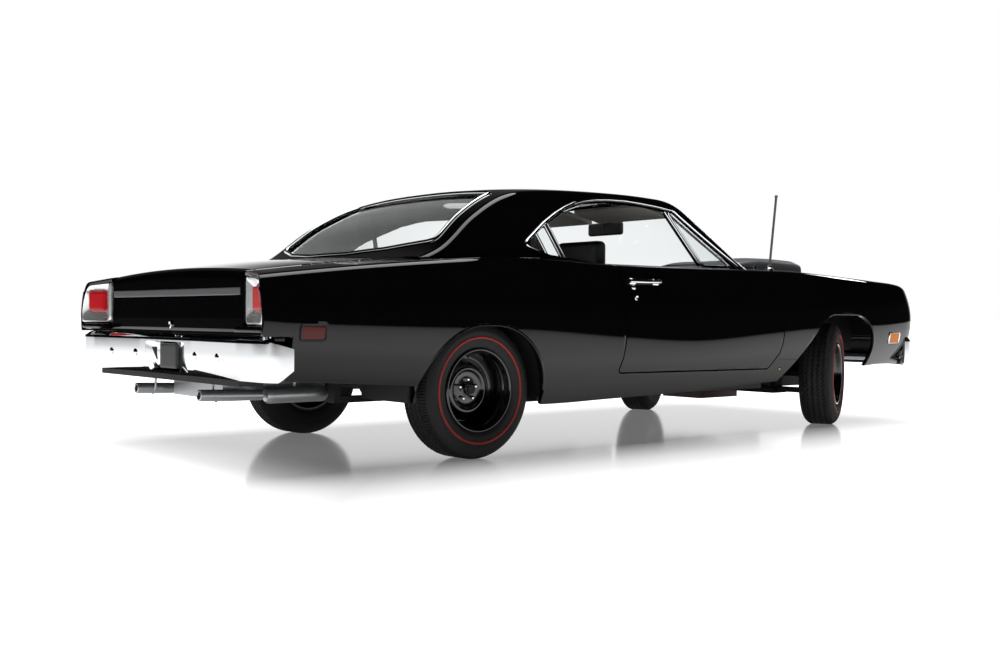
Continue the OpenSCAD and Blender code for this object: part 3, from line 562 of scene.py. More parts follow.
def make_finishes():
    """Every finish of the model, by its plain name."""
    c = colours()
    f = FINISHES
    # Sprayed gloss enamel over zinc: deep black, a wet coat and a trace of orange peel
    f["enamel"] = grained(finish("gloss_black_enamel", c.paint, Roughness=0.4, Specular_IOR_Level=0.0,
                                 Coat_Weight=1.0, Coat_Roughness=0.01, Coat_IOR=1.4), 2.2, 0.0012, 0.5)
    # The hood is the same enamel laid thinner, a little flatter
    f["hood"] = grained(finish("hood_enamel", c.paint, Roughness=0.4, Specular_IOR_Level=0.1, Coat_Weight=0.9,
                                Coat_Roughness=0.03, Coat_IOR=1.4), 2.0, 0.0015, 0.5)
    # Satin enamel of the scoop: dark grey with a broad soft sheen
    f["satin"] = grained(finish("satin_grey_enamel", c.scoop, Roughness=0.42), 0.5, 0.006, 0.6,
                         rough=(0.36, 0.5))
    # Vacuum-plated plastic: mirror bright with a faint ripple
    f["chrome"] = grained(finish("vacuum_plated_chrome", linear("#e2e4e6"), Metallic=1.0, Roughness=0.05),
                          3.0, 0.004, 0.5, rough=(0.035, 0.075))
    # The lamp frames' plating is softer, like brushed foil
    f["plated"] = grained(finish("satin_plated_frame", linear("#eceded"), Metallic=0.75, Roughness=0.24), 1.2,
                          0.004, 0.5, rough=(0.2, 0.3))
    # Injection-moulded clear styrene
    f["glass"] = finish("clear_styrene", linear("#f6f9f9"), Roughness=0.0, IOR=1.2, Transmission_Weight=1.0)
    # Soft black rubber of the tyres, dull with a fine grain
    f["rubber"] = grained(finish("tyre_rubber", linear("#141415"), Roughness=0.7), 0.35, 0.02, 0.7,
                          rough=(0.62, 0.78))
    # Printed red ring on the sidewall
    f["redline"] = grained(finish("red_ring_print", linear("#9c1d18"), Roughness=0.6), 0.4, 0.006, 0.5,
                           rough=(0.52, 0.68))
    # Stamped wheel in gloss enamel
    f["wheel"] = grained(finish("wheel_enamel", linear("#070708"), Roughness=0.18, Coat_Weight=0.8,
                                Coat_Roughness=0.04), 1.4, 0.002, 0.5)
    # Clear red, amber and dark red plastic of the lamps and markers
    f["red"] = grained(finish("clear_red_plastic", linear("#c80a18"), Roughness=0.3, Specular_IOR_Level=0.2),
                       0.8, 0.01, 0.6)
    f["amber"] = grained(finish("clear_amber_plastic", linear("#de7c0c"), Roughness=0.36,
                                Specular_IOR_Level=0.1), 0.8, 0.01, 0.6)
    f["dark_red"] = grained(finish("dark_red_plastic", linear("#520a07"), Roughness=0.26,
                                   Specular_IOR_Level=0.3), 0.8, 0.01, 0.6)
    # Moulded black plastic of the cabin, with a leather grain
    f["trim"] = grained(finish("moulded_black_plastic", linear("#141415"), Roughness=0.5), 0.6, 0.015, 0.6,
                        rough=(0.42, 0.58))
    # Seats moulded with a vinyl grain and a low sheen
    f["vinyl"] = grained(finish("black_vinyl_grain", linear("#121213"), Roughness=0.42), 0.45, 0.02, 0.7,
                         rough=(0.34, 0.5))
    # Grey flocked headliner
    f["liner"] = grained(finish("grey_headliner", linear("#98948d"), Roughness=0.85), 0.5, 0.02, 0.6)
    # Flat black dip coat of the chassis and running gear
    f["flat"] = grained(finish("flat_black_coat", linear("#101011"), Roughness=0.62), 0.5, 0.015, 0.6,
                        rough=(0.54, 0.72))
    # Silver lacquer on the exhaust and tank
    f["silver"] = grained(finish("silver_lacquer", linear("#b9bbbd"), Metallic=0.85, Roughness=0.36), 0.6,
                          0.008, 0.6, rough=(0.28, 0.44))
    # Brushed steel of hinge arms and pins
    f["steel"] = grained(finish("turned_steel", linear("#8f9194"), Metallic=1.0, Roughness=0.34), 0.4, 0.006,
                         0.5, rough=(0.26, 0.42))
    # Dark red engine enamel
    f["engine"] = grained(finish("engine_enamel", linear("#431009"), Roughness=0.36), 0.9, 0.01, 0.6)
    # Blank number plate, dark grey satin print
    f["plate"] = grained(finish("blank_plate_print", linear("#2b2c2d"), Roughness=0.38), 0.6, 0.004, 0.5)
    # Clear lamp face over a silvered bowl
    f["lamp"] = grained(finish("silvered_lamp", linear("#d7dbde"), Metallic=0.7, Roughness=0.12), 0.9, 0.01,
                        0.6)
    # Grey tape stripe across the trunk lid
    f["stripe"] = grained(finish("grey_tape", linear("#58595c"), Roughness=0.34), 0.7, 0.004, 0.5,
                          rough=(0.28, 0.4))
    # Grey lacquered wire of the aerial
    f["aerial"] = grained(finish("grey_lacquered_wire", linear("#77736e"), Metallic=0.4, Roughness=0.4), 0.4,
                          0.004)
    # Brass rivet head
    f["brass"] = grained(finish("brass_rivet", linear("#b08f52"), Metallic=1.0, Roughness=0.3), 0.3, 0.004)


# Sizes and colours that a user would change


class HardtopSizes(bpy.types.PropertyGroup):
    """Sizes of the dressed panels and wheels."""
    skin: FloatProperty(name="Skin", description="Thickness of the painted panels", default=1.1 * MM,
                        min=0.4 * MM, max=2.0 * MM, unit="LENGTH", precision=5)
    gap: FloatProperty(name="Shut line", description="Width of the gap round doors, hood and lid",
                       default=0.45 * MM, min=0.2 * MM, max=1.0 * MM, unit="LENGTH", precision=5)
    pitch: FloatProperty(name="Pitch", description="Size of a cell of the painted skins", default=1.5 * MM,
                         min=0.8 * MM, max=4.0 * MM, unit="LENGTH", precision=5)
    shoulder: FloatProperty(name="Shoulder", description="Radius of the shoulder line", default=2.6 * MM,
                            min=1.0 * MM, max=4.0 * MM, unit="LENGTH", precision=5)
    glass: FloatProperty(name="Glass", description="Thickness of the window glass", default=0.7 * MM,
                         min=0.3 * MM, max=1.2 * MM, unit="LENGTH", precision=5)
    tread: FloatProperty(name="Tread", description="Depth of the tread grooves", default=0.35 * MM,
                         min=0.0, max=1.0 * MM, unit="LENGTH", precision=5)
    lugs: IntProperty(name="Lug nuts", description="Nuts on each wheel", default=5, min=3, max=8)


class HardtopColours(bpy.types.PropertyGroup):
    """Colours of the paint."""
    paint: FloatVectorProperty(name="Paint", description="Body enamel", subtype="COLOR", size=3, min=0, max=1,
                               default=linear("#060607"))
    scoop: FloatVectorProperty(name="Scoop", description="Satin enamel of the hood scoop", subtype="COLOR",
                               size=3, min=0, max=1, default=linear("#66686c"))
    floor: FloatVectorProperty(name="Floor", description="Studio floor", subtype="COLOR", size=3, min=0,
                               max=1, default=linear("#f4f4f4"))


class HARDTOP_OT_finishes(bpy.types.Operator):
    """Make the finishes and give the carried solids theirs."""
    bl_idname = "hardtop.finishes"
    bl_label = "Finishes"

    def execute(self, context):
        make_finishes()
        by_slot = {"body_paint": "enamel", "hood_paint": "satin", "hinge_steel": "steel",
                   "cabin_trim": "trim", "seat_vinyl": "vinyl", "chrome_trim": "chrome",
                   "window_glass": "glass", "plate_dark": "plate", "matte_black": "flat",
                   "lamp_glass": "lamp", "lens_red": "red", "lens_amber": "amber", "engine_paint": "engine",
                   "bare_metal": "silver", "wheel_paint": "wheel", "tyre_rubber": "rubber"}
        for part in frame["record"]["subparts"]:
            node = frame["nodes"][part["node"]]
            node.data.materials.clear()
            node.data.materials.append(FINISHES[by_slot[part["material_slot"]]])
        return {"FINISHED"}


def front_arch():
    """Outline of a front wheel opening from the side: two corner arcs and a slanted rear edge."""
    r, top = 13.6, 39.7
    arc = [(FRONT_X + 6.4 + r * cos(a), top - r + r * sin(a)) for a in np.linspace(-0.28, pi / 2, 14)]
    arc += [(FRONT_X - 7.4 + r * cos(a), top - r + r * sin(a)) for a in np.linspace(pi / 2, 2.55, 10)]
    return [(FRONT_X + 15.1, 5), (FRONT_X + 15.1, 18)] + arc + [(FRONT_X - 37.8, 15.4), (FRONT_X - 37.8, 5)]


def rear_arch():
    """Outline of a rear wheel opening from the side: two corner arcs a short flat apart."""
    r, top, flat = 19.6, 35.6, 3.6
    arc = [(REAR_X + r * cos(a), top - r + r * sin(a)) for a in np.linspace(0, pi / 2, 16)]
    arc += [(REAR_X - flat + r * cos(a), top - r + r * sin(a)) for a in np.linspace(pi / 2, pi, 16)]
    return [(REAR_X + r, 2)] + arc + [(REAR_X - flat - r, 2)]


FRONT_MARK = [(116.8, 29.2), (125.2, 29.2), (125.2, 32.8), (116.8, 32.8)]
REAR_MARK = [(-135.0, 31.8), (-128.6, 31.8), (-128.6, 35.1), (-135.0, 35.1)]


def hood_outline():
    half = moved(HOOD)
    return rounded([(a, b) for a, b in half] + [(a, -b) for a, b in half[-2::-1]], 1.5)


def tilted(xb, zb, xt, zt):
    """A view square to a window: across the car and up its slope."""
    low, high = Vector(((xb + SHIFT) * MM, 0, zb * MM)), Vector(((xt + SHIFT) * MM, 0, zt * MM))
    return (Vector((0, 1, 0)), (high - low).normalized(), low), (high - low).length / MM


def windshield_view():
    return tilted(43.7, 54.7, 12.3, 75.1)


def windshield_outline(run):
    return rounded([(-45, 0), (45, 0), (33.6, run), (-33.6, run)], 2.5)


def backlight_view():
    return tilted(-94.3, 54.6, -62.2, 74.2)


def backlight_outline(run):
    low = [(10, 0.4), (24, 3), (38.2, 9)]
    return rounded([(-a, b) for a, b in low[::-1]] + low + [(32.2, run), (-32.2, run)], 2.5)


def window_outline():
    return rounded(moved(WINDOW), 2.0)


class HARDTOP_OT_body(bpy.types.Operator):
    """Loft the painted body with its openings, and the roof over it."""
    bl_idname = "hardtop.body"
    bl_label = "Body"

    def execute(self, context):
        s = settings()
        pitch, gap = s.pitch / MM, s.gap / MM
        skin = half_skin(body_section, BODY[0, 0], BODY[-1, 0], 0, 1, pitch)
        right = lambda c: c.y < -40 * MM
        top = lambda c: c.z > 44 * MM
        door = rounded(moved(DOOR), 1.0)
        trim(skin, grown(door, gap), SIDE, False, lambda c: c.y < -45 * MM and c.z < DOOR_TOP * MM + 0.003)
        trim(skin, front_arch(), SIDE, False, lambda c: c.z < 44 * MM)
        trim(skin, rear_arch(), SIDE, False, lambda c: c.z < 44 * MM)
        for mark in (FRONT_MARK, REAR_MARK):
            trim(skin, rounded(grown(moved(mark), 0.15), 0.5), SIDE, False, right)
        trim(skin, grown(hood_outline(), gap), PLAN, False, top)
        lid = [(LID_FRONT + SHIFT + gap, -LID_HALF - gap), (-160, -LID_HALF - gap), (-160, 1),
               (LID_FRONT + SHIFT + gap, 1)]
        trim(skin, lid, PLAN, False, top)
        end = moved([(-150, -52.7), (tail_x(52.7), -52.7), (TAIL_FACE, -39.4), (TAIL_FACE, 1), (-150, 1)])
        trim(skin, end, PLAN, False, top)
        trim(skin, [(-160, 0), (-137 + SHIFT, 0), (-137 + SHIFT, 32.6), (-160, 32.6)], SIDE, False)
        trim(skin, [(131.0 + SHIFT, 0), (170, 0), (170, 31.1), (134.6 + SHIFT, 31.1), (131.0 + SHIFT, 20)],
             SIDE, False)
        cabin = moved([(-92.5, 1), (-93, -30), (-84, -37.6), (-70, -43.4), (30, -44.6), (38, -43), (43, -36),
                       (44.5, 1)])
        trim(skin, cabin, PLAN, False, top)
        walled(mirrored(skin), s.skin / MM)
        finished(skin, "body_skin", FINISHES["enamel"], "body", ["body_shell"])

        roof = half_skin(roof_section, ROOF[0, 0], ROOF[-1, 0], 0, 1, pitch)
        trim(roof, window_outline(), SIDE, False, lambda c: c.y < -20 * MM)
        view, run = windshield_view()
        trim(roof, windshield_outline(run), view, False, lambda c: c.x > 5 * MM)
        view, run = backlight_view()
        trim(roof, backlight_outline(run), view, False, lambda c: c.x < -55 * MM)
        trim(roof, [(-120, 30), (60, 30), (60, 52.6), (-120, 52.6)], SIDE, False, lambda c: c.y < -20 * MM)
        walled(mirrored(roof), 1.2, lining=1)
        for face in roof.data.polygons:
            if face.material_index and (face.normal.z > -0.7 or face.center.z < 66 * MM):
                face.material_index = 2
        finished(roof, "roof_skin", [FINISHES["enamel"], FINISHES["liner"], FINISHES["trim"]], "body")
        return {"FINISHED"}


class HARDTOP_OT_doors(bpy.types.Operator):
    """Loft the two doors inside their shut lines."""
    bl_idname = "hardtop.doors"
    bl_label = "Doors"

    def execute(self, context):
        s = settings()
        door = half_skin(body_section, -34, 52, 0, 0.63, s.pitch / MM)
        trim(door, rounded(moved(DOOR), 1.0), SIDE, True)
        trim(door, [(-80, -70), (80, -70), (80, -45.6), (-80, -45.6)], PLAN, True)
        walled(door, 2.6)
        on_doors(door, "door_skin", FINISHES["enamel"], "door")
        return {"FINISHED"}


class HARDTOP_OT_hood(bpy.types.Operator):
    """Loft the hood panel."""
    bl_idname = "hardtop.hood"
    bl_label = "Hood"

    def execute(self, context):
        s = settings()
        hood = half_skin(body_section, 48, 138, 0.5, 1, s.pitch / MM)
        trim(hood, hood_outline(), PLAN, True)
        walled(mirrored(hood), s.skin / MM)
        finished(hood, "hood_skin", FINISHES["hood"], "hood_panel", ["hood"])
        return {"FINISHED"}


class HARDTOP_OT_lid(bpy.types.Operator):
    """Loft the trunk lid, which rolls over into the rear panel."""
    bl_idname = "hardtop.lid"
    bl_label = "Trunk lid"

    def execute(self, context):
        s = settings()
        roll = 3.0
        start = TAIL_FACE + roll

        def place(u, v):
            y = -LID_HALF * (1 - v)
            x = np.where(u < 0.62, LID_FRONT + (start - LID_FRONT) * u / 0.62, start)
            z = deck_height(x, -y)
            a = np.clip((u - 0.62) / 0.12, 0, 1) * pi / 2
            low = np.clip((u - 0.74) / 0.26, 0, 1)
            return (x - roll * np.sin(a) + SHIFT, y,
                    np.where(low > 0, (z - roll) + (LID_LOW - (z - roll)) * low, z - roll + roll * np.cos(a)))
        lid = surface(64, 26, place)
        edited(lid, bpy.ops.mesh.flip_normals)
        walled(mirrored(lid), s.skin / MM)
        finished(lid, "lid_skin", FINISHES["enamel"], "lid", ["trunk_lid"])
        return {"FINISHED"}


class HARDTOP_OT_glass(bpy.types.Operator):
    """Glaze the windshield, the rear window, the quarter windows and the vents."""
    bl_idname = "hardtop.glass"
    bl_label = "Glass"

    def execute(self, context):
        s = settings()
        pitch, thick = s.pitch / MM, s.glass / MM
        for name, node, (view, run), outline, x0, x1, inset in (
                ("windshield_glass", "windshield", windshield_view(), windshield_outline, 6, 46, 0.5),
                ("rear_glass", "rear_window", backlight_view(), backlight_outline, -100, -58, 0.7)):
            pane = half_skin(roof_section, x0, x1, 0, 1, pitch, inset)
            trim(pane, grown(outline(run), -0.15), view, True)
            finished(walled(mirrored(pane), thick, 0), name, FINISHES["glass"], "body",
                     [node])
        pane = half_skin(roof_section, -64, -40, 0.02, 0.4, pitch, 0.6)
        trim(pane, grown(window_outline(), -0.15), SIDE, True)
        trim(pane, moved([(-70, 50), (-44, 50), (-52, 70), (-70, 70)]), SIDE, True)
        finished(walled(mirrored(pane), thick, 0), "quarter_glass", FINISHES["glass"], "body",
                 ["quarter_windows"])
        pane = half_skin(roof_section, 0, 34, 0.02, 0.5, pitch, 0.6)
        trim(pane, grown(moved(VENT), -0.2), SIDE, True)
        walled(pane, thick, 0)
        on_doors(pane, "vent_glass", FINISHES["glass"], "vent")
        return {"FINISHED"}


def body_at(x, z, inset=0.0):
    """Half width of the body's side at one drawing place and height."""
    t = np.linspace(0, 0.5, 240)
    y, heights = body_section(np.full(240, x), t, inset)
    return float(np.interp(z, heights, y))


def roof_height(x, y, out=0.0):
    """Height of the roof's skin at one drawing place and half width."""
    t = np.linspace(0.2, 1, 240)
    ys, zs = roof_section(np.full(240, x), t, -out)
    return float(np.interp(y, ys[::-1], zs[::-1]))


def bent(points, radius):
    """An open line with its inner corners rounded off."""
    steps = 6
    return [points[0]] + rounded(points, radius)[steps:-steps] + [points[-1]]


def spaced(points, step):
    """A line with points set evenly along it."""
    p = np.array(points, float)
    run = np.concatenate([[0], np.cumsum(np.linalg.norm(np.diff(p, axis=0), axis=1))])
    marks = np.linspace(0, run[-1], max(3, round(run[-1] / step) + 1))
    return [tuple(np.interp(m, run, p[:, k]) for k in range(p.shape[1])) for m in marks]


def looped(outline, step):
    """A closed outline with points set evenly round it."""
    return spaced(outline + outline[:1], step)[:-1]


def on_side(outline, at, out=0.0):
    """A line seen from the side, laid on the right skin that at(x, z) gives."""
    return [(x + SHIFT, -at(x, z) - out, z) for x, z in outline]


def on_window(view, outline, out=0.0):
    """A line seen square to a tilted window, laid on the roof's skin."""
    across, slope, low = view
    normal = across.cross(slope)
    normal *= 1 if normal.z > 0 else -1
    path = []
    for a, b in outline:
        base = low / MM + across * a + slope * b
        near, far = -12.0, 12.0
        for _ in range(26):
            s = (near + far) / 2
            p = base + normal * s
            if p.z < roof_height(p.x - SHIFT, abs(p.y), out):
                near = s
            else:
                far = s
        path.append(tuple(base + normal * near))
    return path


def bead(width, height, sink=0.3):
    """Profile of a half-round strip that stands on a skin."""
    w = width / 2
    return [(-w, 0), (-w * 0.86, height * 0.6), (-w * 0.45, height), (w * 0.45, height),
            (w * 0.86, height * 0.6), (w, 0), (w * 0.7, -sink), (-w * 0.7, -sink)]


def rod(radius, sides=12):
    return [(radius * cos(2 * pi * k / sides), radius * sin(2 * pi * k / sides)) for k in range(sides)]


def pillow(low, high, radius, cuts=18, shape=None):
    """A subdivided cube pulled to a block with round edges; shape(q, half) may move its points."""
    clear()
    bpy.ops.mesh.primitive_cube_add(size=1)
    obj = edited(bpy.context.object, lambda: bpy.ops.mesh.subdivide(number_cuts=cuts))
    low, high = np.array(low, float), np.array(high, float)
    half = (high - low) / 2
    co = np.empty(len(obj.data.vertices) * 3)
    obj.data.vertices.foreach_get("co", co)
    unit = np.sign(co) * (1 - (1 - np.abs(co * 2))**1.6)
    q = unit.reshape(-1, 3) * half
    core = np.clip(q, radius - half, half - radius)
    away = q - core
    q = core + away * radius / np.maximum(np.linalg.norm(away, axis=1, keepdims=True), 1e-9)
    if shape:
        q = shape(q, half)
    obj.data.vertices.foreach_set("co", ((q + (low + high) / 2) * MM).ravel())
    obj.data.update()
    return obj


def ringed(rings):
    """A skin through closed rings of points that have the same count, in millimetres."""
    rings = np.array(rings, float)
    n, m = rings.shape[:2]

    def place(u, v):
        i, k = np.rint(u * (n - 1)).astype(int), np.rint(v * m).astype(int) % m
        return tuple(rings[i, k].T)
    return edited(surface(n - 1, m, place), doubles(0.002), outward)


def around(outline, centre, count):
    """Where rays from a centre meet an outline, at even angles."""
    centre = np.array(centre, float)
    p = np.array(outline, float) - centre
    q = np.roll(p, -1, axis=0)
    points = []
    for a in np.linspace(0, 2 * pi, count, endpoint=False):
        d = np.array((cos(a), sin(a)))
        e = q - p
        cross = d[0] * e[:, 1] - d[1] * e[:, 0]
        safe = np.where(np.abs(cross) < 1e-12, 1e-12, cross)
        r = (p[:, 0] * e[:, 1] - p[:, 1] * e[:, 0]) / safe
        s = (p[:, 0] * d[1] - p[:, 1] * d[0]) / safe
        hit = r[(s >= -1e-9) & (s <= 1 + 1e-9) & (r > 0)]
        points.append(centre + d * hit.max())
    return np.array(points)


def slab(y0, y1, z0, z1, corner):
    """A rectangle with round corners, across the car and up."""
    return rounded([(y0, z0), (y1, z0), (y1, z1), (y0, z1)], corner)


def both_sides(obj):
    """The piece with its reflection in one mesh, as two loose shells."""
    return joined([obj, reflection(obj)])


class HARDTOP_OT_tail(bpy.types.Operator):
    """Close the tail: lamp pods, bright lamp frames, red lenses, and the stripe and lock of the trunk lid."""
    bl_idname = "hardtop.tail"
    bl_label = "Tail"

    def execute(self, context):
        f = FINISHES
        end, face = BODY[0, 0] + SHIFT, TAIL_FACE + SHIFT
        sill = pillow((end, 38.95, 33.3), (face + 0.2, 52.4, 34.9), 0.5, 8)
        filler = pillow((face + 0.1, 0.01, 31.4), (face + 3, 52.2, 34), 0.4, 8)
        finished(both_sides(joined([sill, filler])), "tail_posts", f["enamel"], "body")

        # Lamp frame: outline of the pod, drawn in from the body's section
        y, z = body_section(np.full(160, -143.0), np.linspace(0.1, 0.9, 160), 0.95)
        keep = (z > 35.0) & (y > LAMP_IN)
        outer = rounded([(LAMP_IN, 35.0)] + [(float(a), float(b)) for a, b in zip(y[keep], z[keep])][::4]
                        + [(LAMP_IN, float(z[keep][-1]))], 1.6, 4)
        lamp_centre, count = (46.4, 41.2), 120
        inner = around(slab(42.9, 50.1, 38.5, 44.0, 0.6), lamp_centre, count)
        rim = around(outer, lamp_centre, count)
        rings = []
        for share, depth in ((0.0, 3.2), (0.0, 0.3), (0.04, 0.0), (0.12, -0.15), (0.22, -0.05), (0.34, 0.25),
                             (1.0, 1.3), (1.0, 2.0)):
            ring = rim + (inner - rim) * share
            rings.append([(tail_x(a) + depth + SHIFT, a, b) for a, b in ring])
        finished(both_sides(ringed(rings)), "lamp_frames", f["plated"], "body",
                 ["lamp_bezels"], 45)

        def slanted(q, half):
            return q + np.stack([q[:, 1] * TAIL_SLOPE, np.zeros(len(q)), np.zeros(len(q))], axis=1)
        x = tail_x(46.5) + SHIFT
        lens = pillow((x + 0.4, 42.95, 38.55), (x + 1.7, 50.05, 43.95), 0.5, 14, slanted)
        finished(both_sides(lens), "lamp_reds", f["red"], "body", ["lamp_lenses"])

        stripe = pillow((face - 0.18, -36.6, 42.1), (face + 0.3, 36.6, 43.9), 0.2, 12)
        finished(stripe, "lid_stripe", f["stripe"], "lid")
        lock = turned([(0, 0), (0.75, 0), (0.75, 0.35), (0.55, 0.5), (0.3, 0.42), (0, 0.42)], (face, 0, 34.9),
                      (-1, 0, 0), 32)
        for v in lock.data.vertices:
            v.co.z += (v.co.z - 34.9 * MM) * 0.4
        finished(lock, "lid_lock", f["chrome"], "lid")
        return {"FINISHED"}


def fall(u, low, high):
    """How far a bumper's face lies behind its foremost line, at u from 0 at the bottom to 1 at the top."""
    return low * max(0, 1 - u / 0.6)**2 + high * max(0, (u - 0.92) / 0.08)


def blade(x0, x1, half, z0, z1, low, high, shelf, sweep=1.0, hollow=0.0):
    """A bumper's smooth face: it wraps the corners, falls back at the top and bottom and ends in a shelf.

    sweep sets the corners back, hollow sets the middle back.
    """
    way = 1 if x1 > x0 else -1
    rows = [(z0 + 0.1, low + 2.6), (z0, low + 0.7)]
    for u in (*np.linspace(0, 0.915, 20), 0.93, 1.0):
        rows.append((z0 + (z1 - z0) * u, fall(u, low, high)))
    rows += [(z1 + 0.25, high + 0.5), (z1 + 0.4, high + 1.2), (z1 + 0.6, high + shelf)]
    count = 180
    rings = []
    for z, b in rows:
        h = half - 0.12 * b
        side = [(x0, -h), (x1 - (2.6 * sweep + b) * way, -h), (x1 - (0.8 * sweep + b) * way, -h * 0.92)]
        if hollow:
            side += [(x1 - (0.42 + b) * way, -41.5), (x1 - (hollow + b) * way, -15)]
        else:
            side += [(x1 - b * way, -h * 0.6)]
        plan = side + [(x, -y) for x, y in side[::-1]]
        line = np.array(spaced(bent(plan, 9.0), 0.2))
        pick = np.linspace(0, len(line) - 1, count + 1)
        rings.append(np.stack([np.interp(pick, np.arange(len(line)), line[:, 0]) + SHIFT,
                               np.interp(pick, np.arange(len(line)), line[:, 1]), np.full(count + 1, z)],
                              axis=1))
    rings = np.array(rings)

    def place(u, v):
        i, k = np.rint(v * (len(rows) - 1)).astype(int), np.rint(u * count).astype(int)
        return tuple(rings[i, k].T)
    obj = surface(count, len(rows) - 1, place)
    return edited(obj, bpy.ops.mesh.flip_normals) if way < 0 else obj


class HARDTOP_OT_bumpers(bpy.types.Operator):
    """Form the two bright bumpers, the plate in its dish, and the valance below."""
    bl_idname = "hardtop.bumpers"
    bl_label = "Bumpers"

    def execute(self, context):
        f = FINISHES
        front = blade(130.9, 144.2, 49.7, 20.6, 30.8, 3.6, 1.0, 3.0, sweep=3.5)
        finished(walled(front, 0.8, 0), "front_blade", f["chrome"], "body", ["front_bumper"],
                 50)

        tail, z0, z1, low, hollow = -145.5, 22.3, 32.3, 1.6, 2.3
        rear = blade(-137.2, tail, 54, z0, z1, low, 1.2, 4.0, hollow=hollow)

        def face(y, z):
            """Drawing place of the rear blade's face."""
            bend = np.interp(abs(y), (15, 41.5), (hollow, 0.42))
            return tail + bend + fall((z - z0) / (z1 - z0), low, 1.2)
        ends = lambda c: abs(c.y) > 50 * MM
        trim(rear, moved([(-143.6, 31.5), (-136, 29.5), (-136, 40), (-143.6, 40)]), SIDE, False, ends)
        trim(rear, moved([(-141.3, 22), (-136, 25.8), (-136, 20), (-141.3, 20)]), SIDE, False, ends)
        dish = slab(-11.4, 11.4, 22.9, 30.6, 0.4)
        trim(rear, dish, REAR, False, lambda c: c.x < (-141.2 + SHIFT) * MM)
        walled(rear, 0.8, 0)
        rim = around(dish, (0, 26.8), 120)
        floor = around(slab(-5, 5, 23.3, 30.3, 0.3), (0, 26.8), 120)
        rings = []
        for share, depth in ((-0.02, 0.9), (-0.005, 0.03), (0.03, 0.08)):
            rings.append([(face(a, b) + depth + SHIFT, a, b) for a, b in rim + (floor - rim) * share])
        for share, x in ((0.98, -141.35), (1.0, -140.6)):
            rings.append([(x + SHIFT, a, b) for a, b in rim + (floor - rim) * share])
        well = ringed(rings)
        finished(joined([rear, well]), "rear_blade", f["chrome"], "body", ["rear_bumper"], 50)
        plate = pillow((-142.2 + SHIFT, -4.9, 23.6), (-141.0 + SHIFT, 4.9, 30.1), 0.3, 10)
        finished(plate, "blank_plate", f["plate"], "body", ["plates"])

        bolts = []
        for y in (-31, -17.5, 17.5, 31):
            bolts.append(turned([(0, -0.1), (0.95, -0.1), (0.95, 0.14), (0.75, 0.26), (0, 0.3)],
                                (face(y, 27.4) + SHIFT, y, 27.4), (-1, 0, 0), 24))
        finished(joined(bolts), "bumper_bolts", f["chrome"], "body")
        # Painted shade: flat black triangles on the dish walls stand in for the plate bracket's shadows and
        # reflections
        painted_shadows = []
        for points in ([(8.9, 29.0), (7.2, 29.0), (7.1, 25.6)], [(8.7, 25.0), (7.1, 23.6), (8.7, 23.6)]):
            clear()
            bpy.ops.mesh.primitive_circle_add(vertices=3, radius=1, fill_type="NGON")
            obj = bpy.context.object
            for v, (y, z) in zip(obj.data.vertices, points):
                share = (11.4 - y) / 6.4
                x = face(y, z) * (1 - share) - 141.35 * share
                v.co = Vector((x - 0.06 + SHIFT, y, z)) * MM
            painted_shadows.append(modified(obj, "SOLIDIFY", thickness=0.1 * MM, offset=0))
        finished(joined(painted_shadows), "dish_painted_shadows", f["flat"], "body")
        valance = pillow((-141.2 + SHIFT, -38.5, 21.5), (-134.5 + SHIFT, 38.5, 23.2), 0.4, 12)
        finished(valance, "rear_valance", f["satin"], "body")
        return {"FINISHED"}


# Wheels: the places of the four, taken from their tyres
STEER = 25.0
WHEELS = {"front_right": "wheel_fr", "front_left": "wheel_fl", "rear_right": "wheel_rr",
          "rear_left": "wheel_rl"}


def wheel_place(key):
    """Where a wheel modelled about the origin, its outer face towards +Z, goes."""
    side = -1 if key.endswith("right") else 1
    turn = radians(STEER) if key.startswith("front") else 0.0
    return (Matrix.Translation(Vector(middle("tyre_" + key)) * MM) @ Matrix.Rotation(turn, 4, "Z")
            @ Matrix.Rotation(-side * pi / 2, 4, "X"))


def tyre_skin(s):
    """A tyre about Z with its sidewall ring lands and a zig-zag tread."""
    wall = bent([(10.85, 4.6), (11.6, 5.3), (13.2, 5.75), (15.6, 5.8), (16.9, 5.2), (17.75, 4.3),
                 (18.15, 3.6)], 3.0)
    wall = np.array(spaced(wall, 0.34))
    flat = np.linspace(3.45, -3.45, 46)
    line = np.concatenate([wall, np.stack([np.full(46, 18.2), flat], axis=1), wall[::-1] * (1, -1)])
    count = 560

    def place(u, v):
        k = np.rint(v * (len(line) - 1)).astype(int)
        r, h = line[k].T
        a = 2 * pi * u
        zig = np.abs((u * 70) % 1 - 0.5) - 0.25
        groove = np.zeros_like(u)
        for middle_h in (-2.7, -0.9, 0.9, 2.7):
            groove = np.maximum(groove, np.clip(1.6 - np.abs(h - middle_h - zig * 1.3) / 0.17, 0, 1))
        sipe = np.clip(1.5 - np.abs((u * 140) % 1 - 0.5) / 0.09, 0, 1) * (np.abs(h) > 3.0)
        tread = np.where(r > 17.4, np.maximum(groove * (np.abs(h) < 3.45), sipe * 0.8), 0)
        r = r - tread * s.tread / MM
        land = np.exp(-((r - 12.3) / 0.22)**2) + np.exp(-((r - 15.3) / 0.25)**2)
        h = h + np.sign(h) * land * 0.08 * (r < 16)
        return r * np.cos(a), r * np.sin(a), h
    return edited(surface(count, len(line) - 1, place), doubles(0.001), outward)


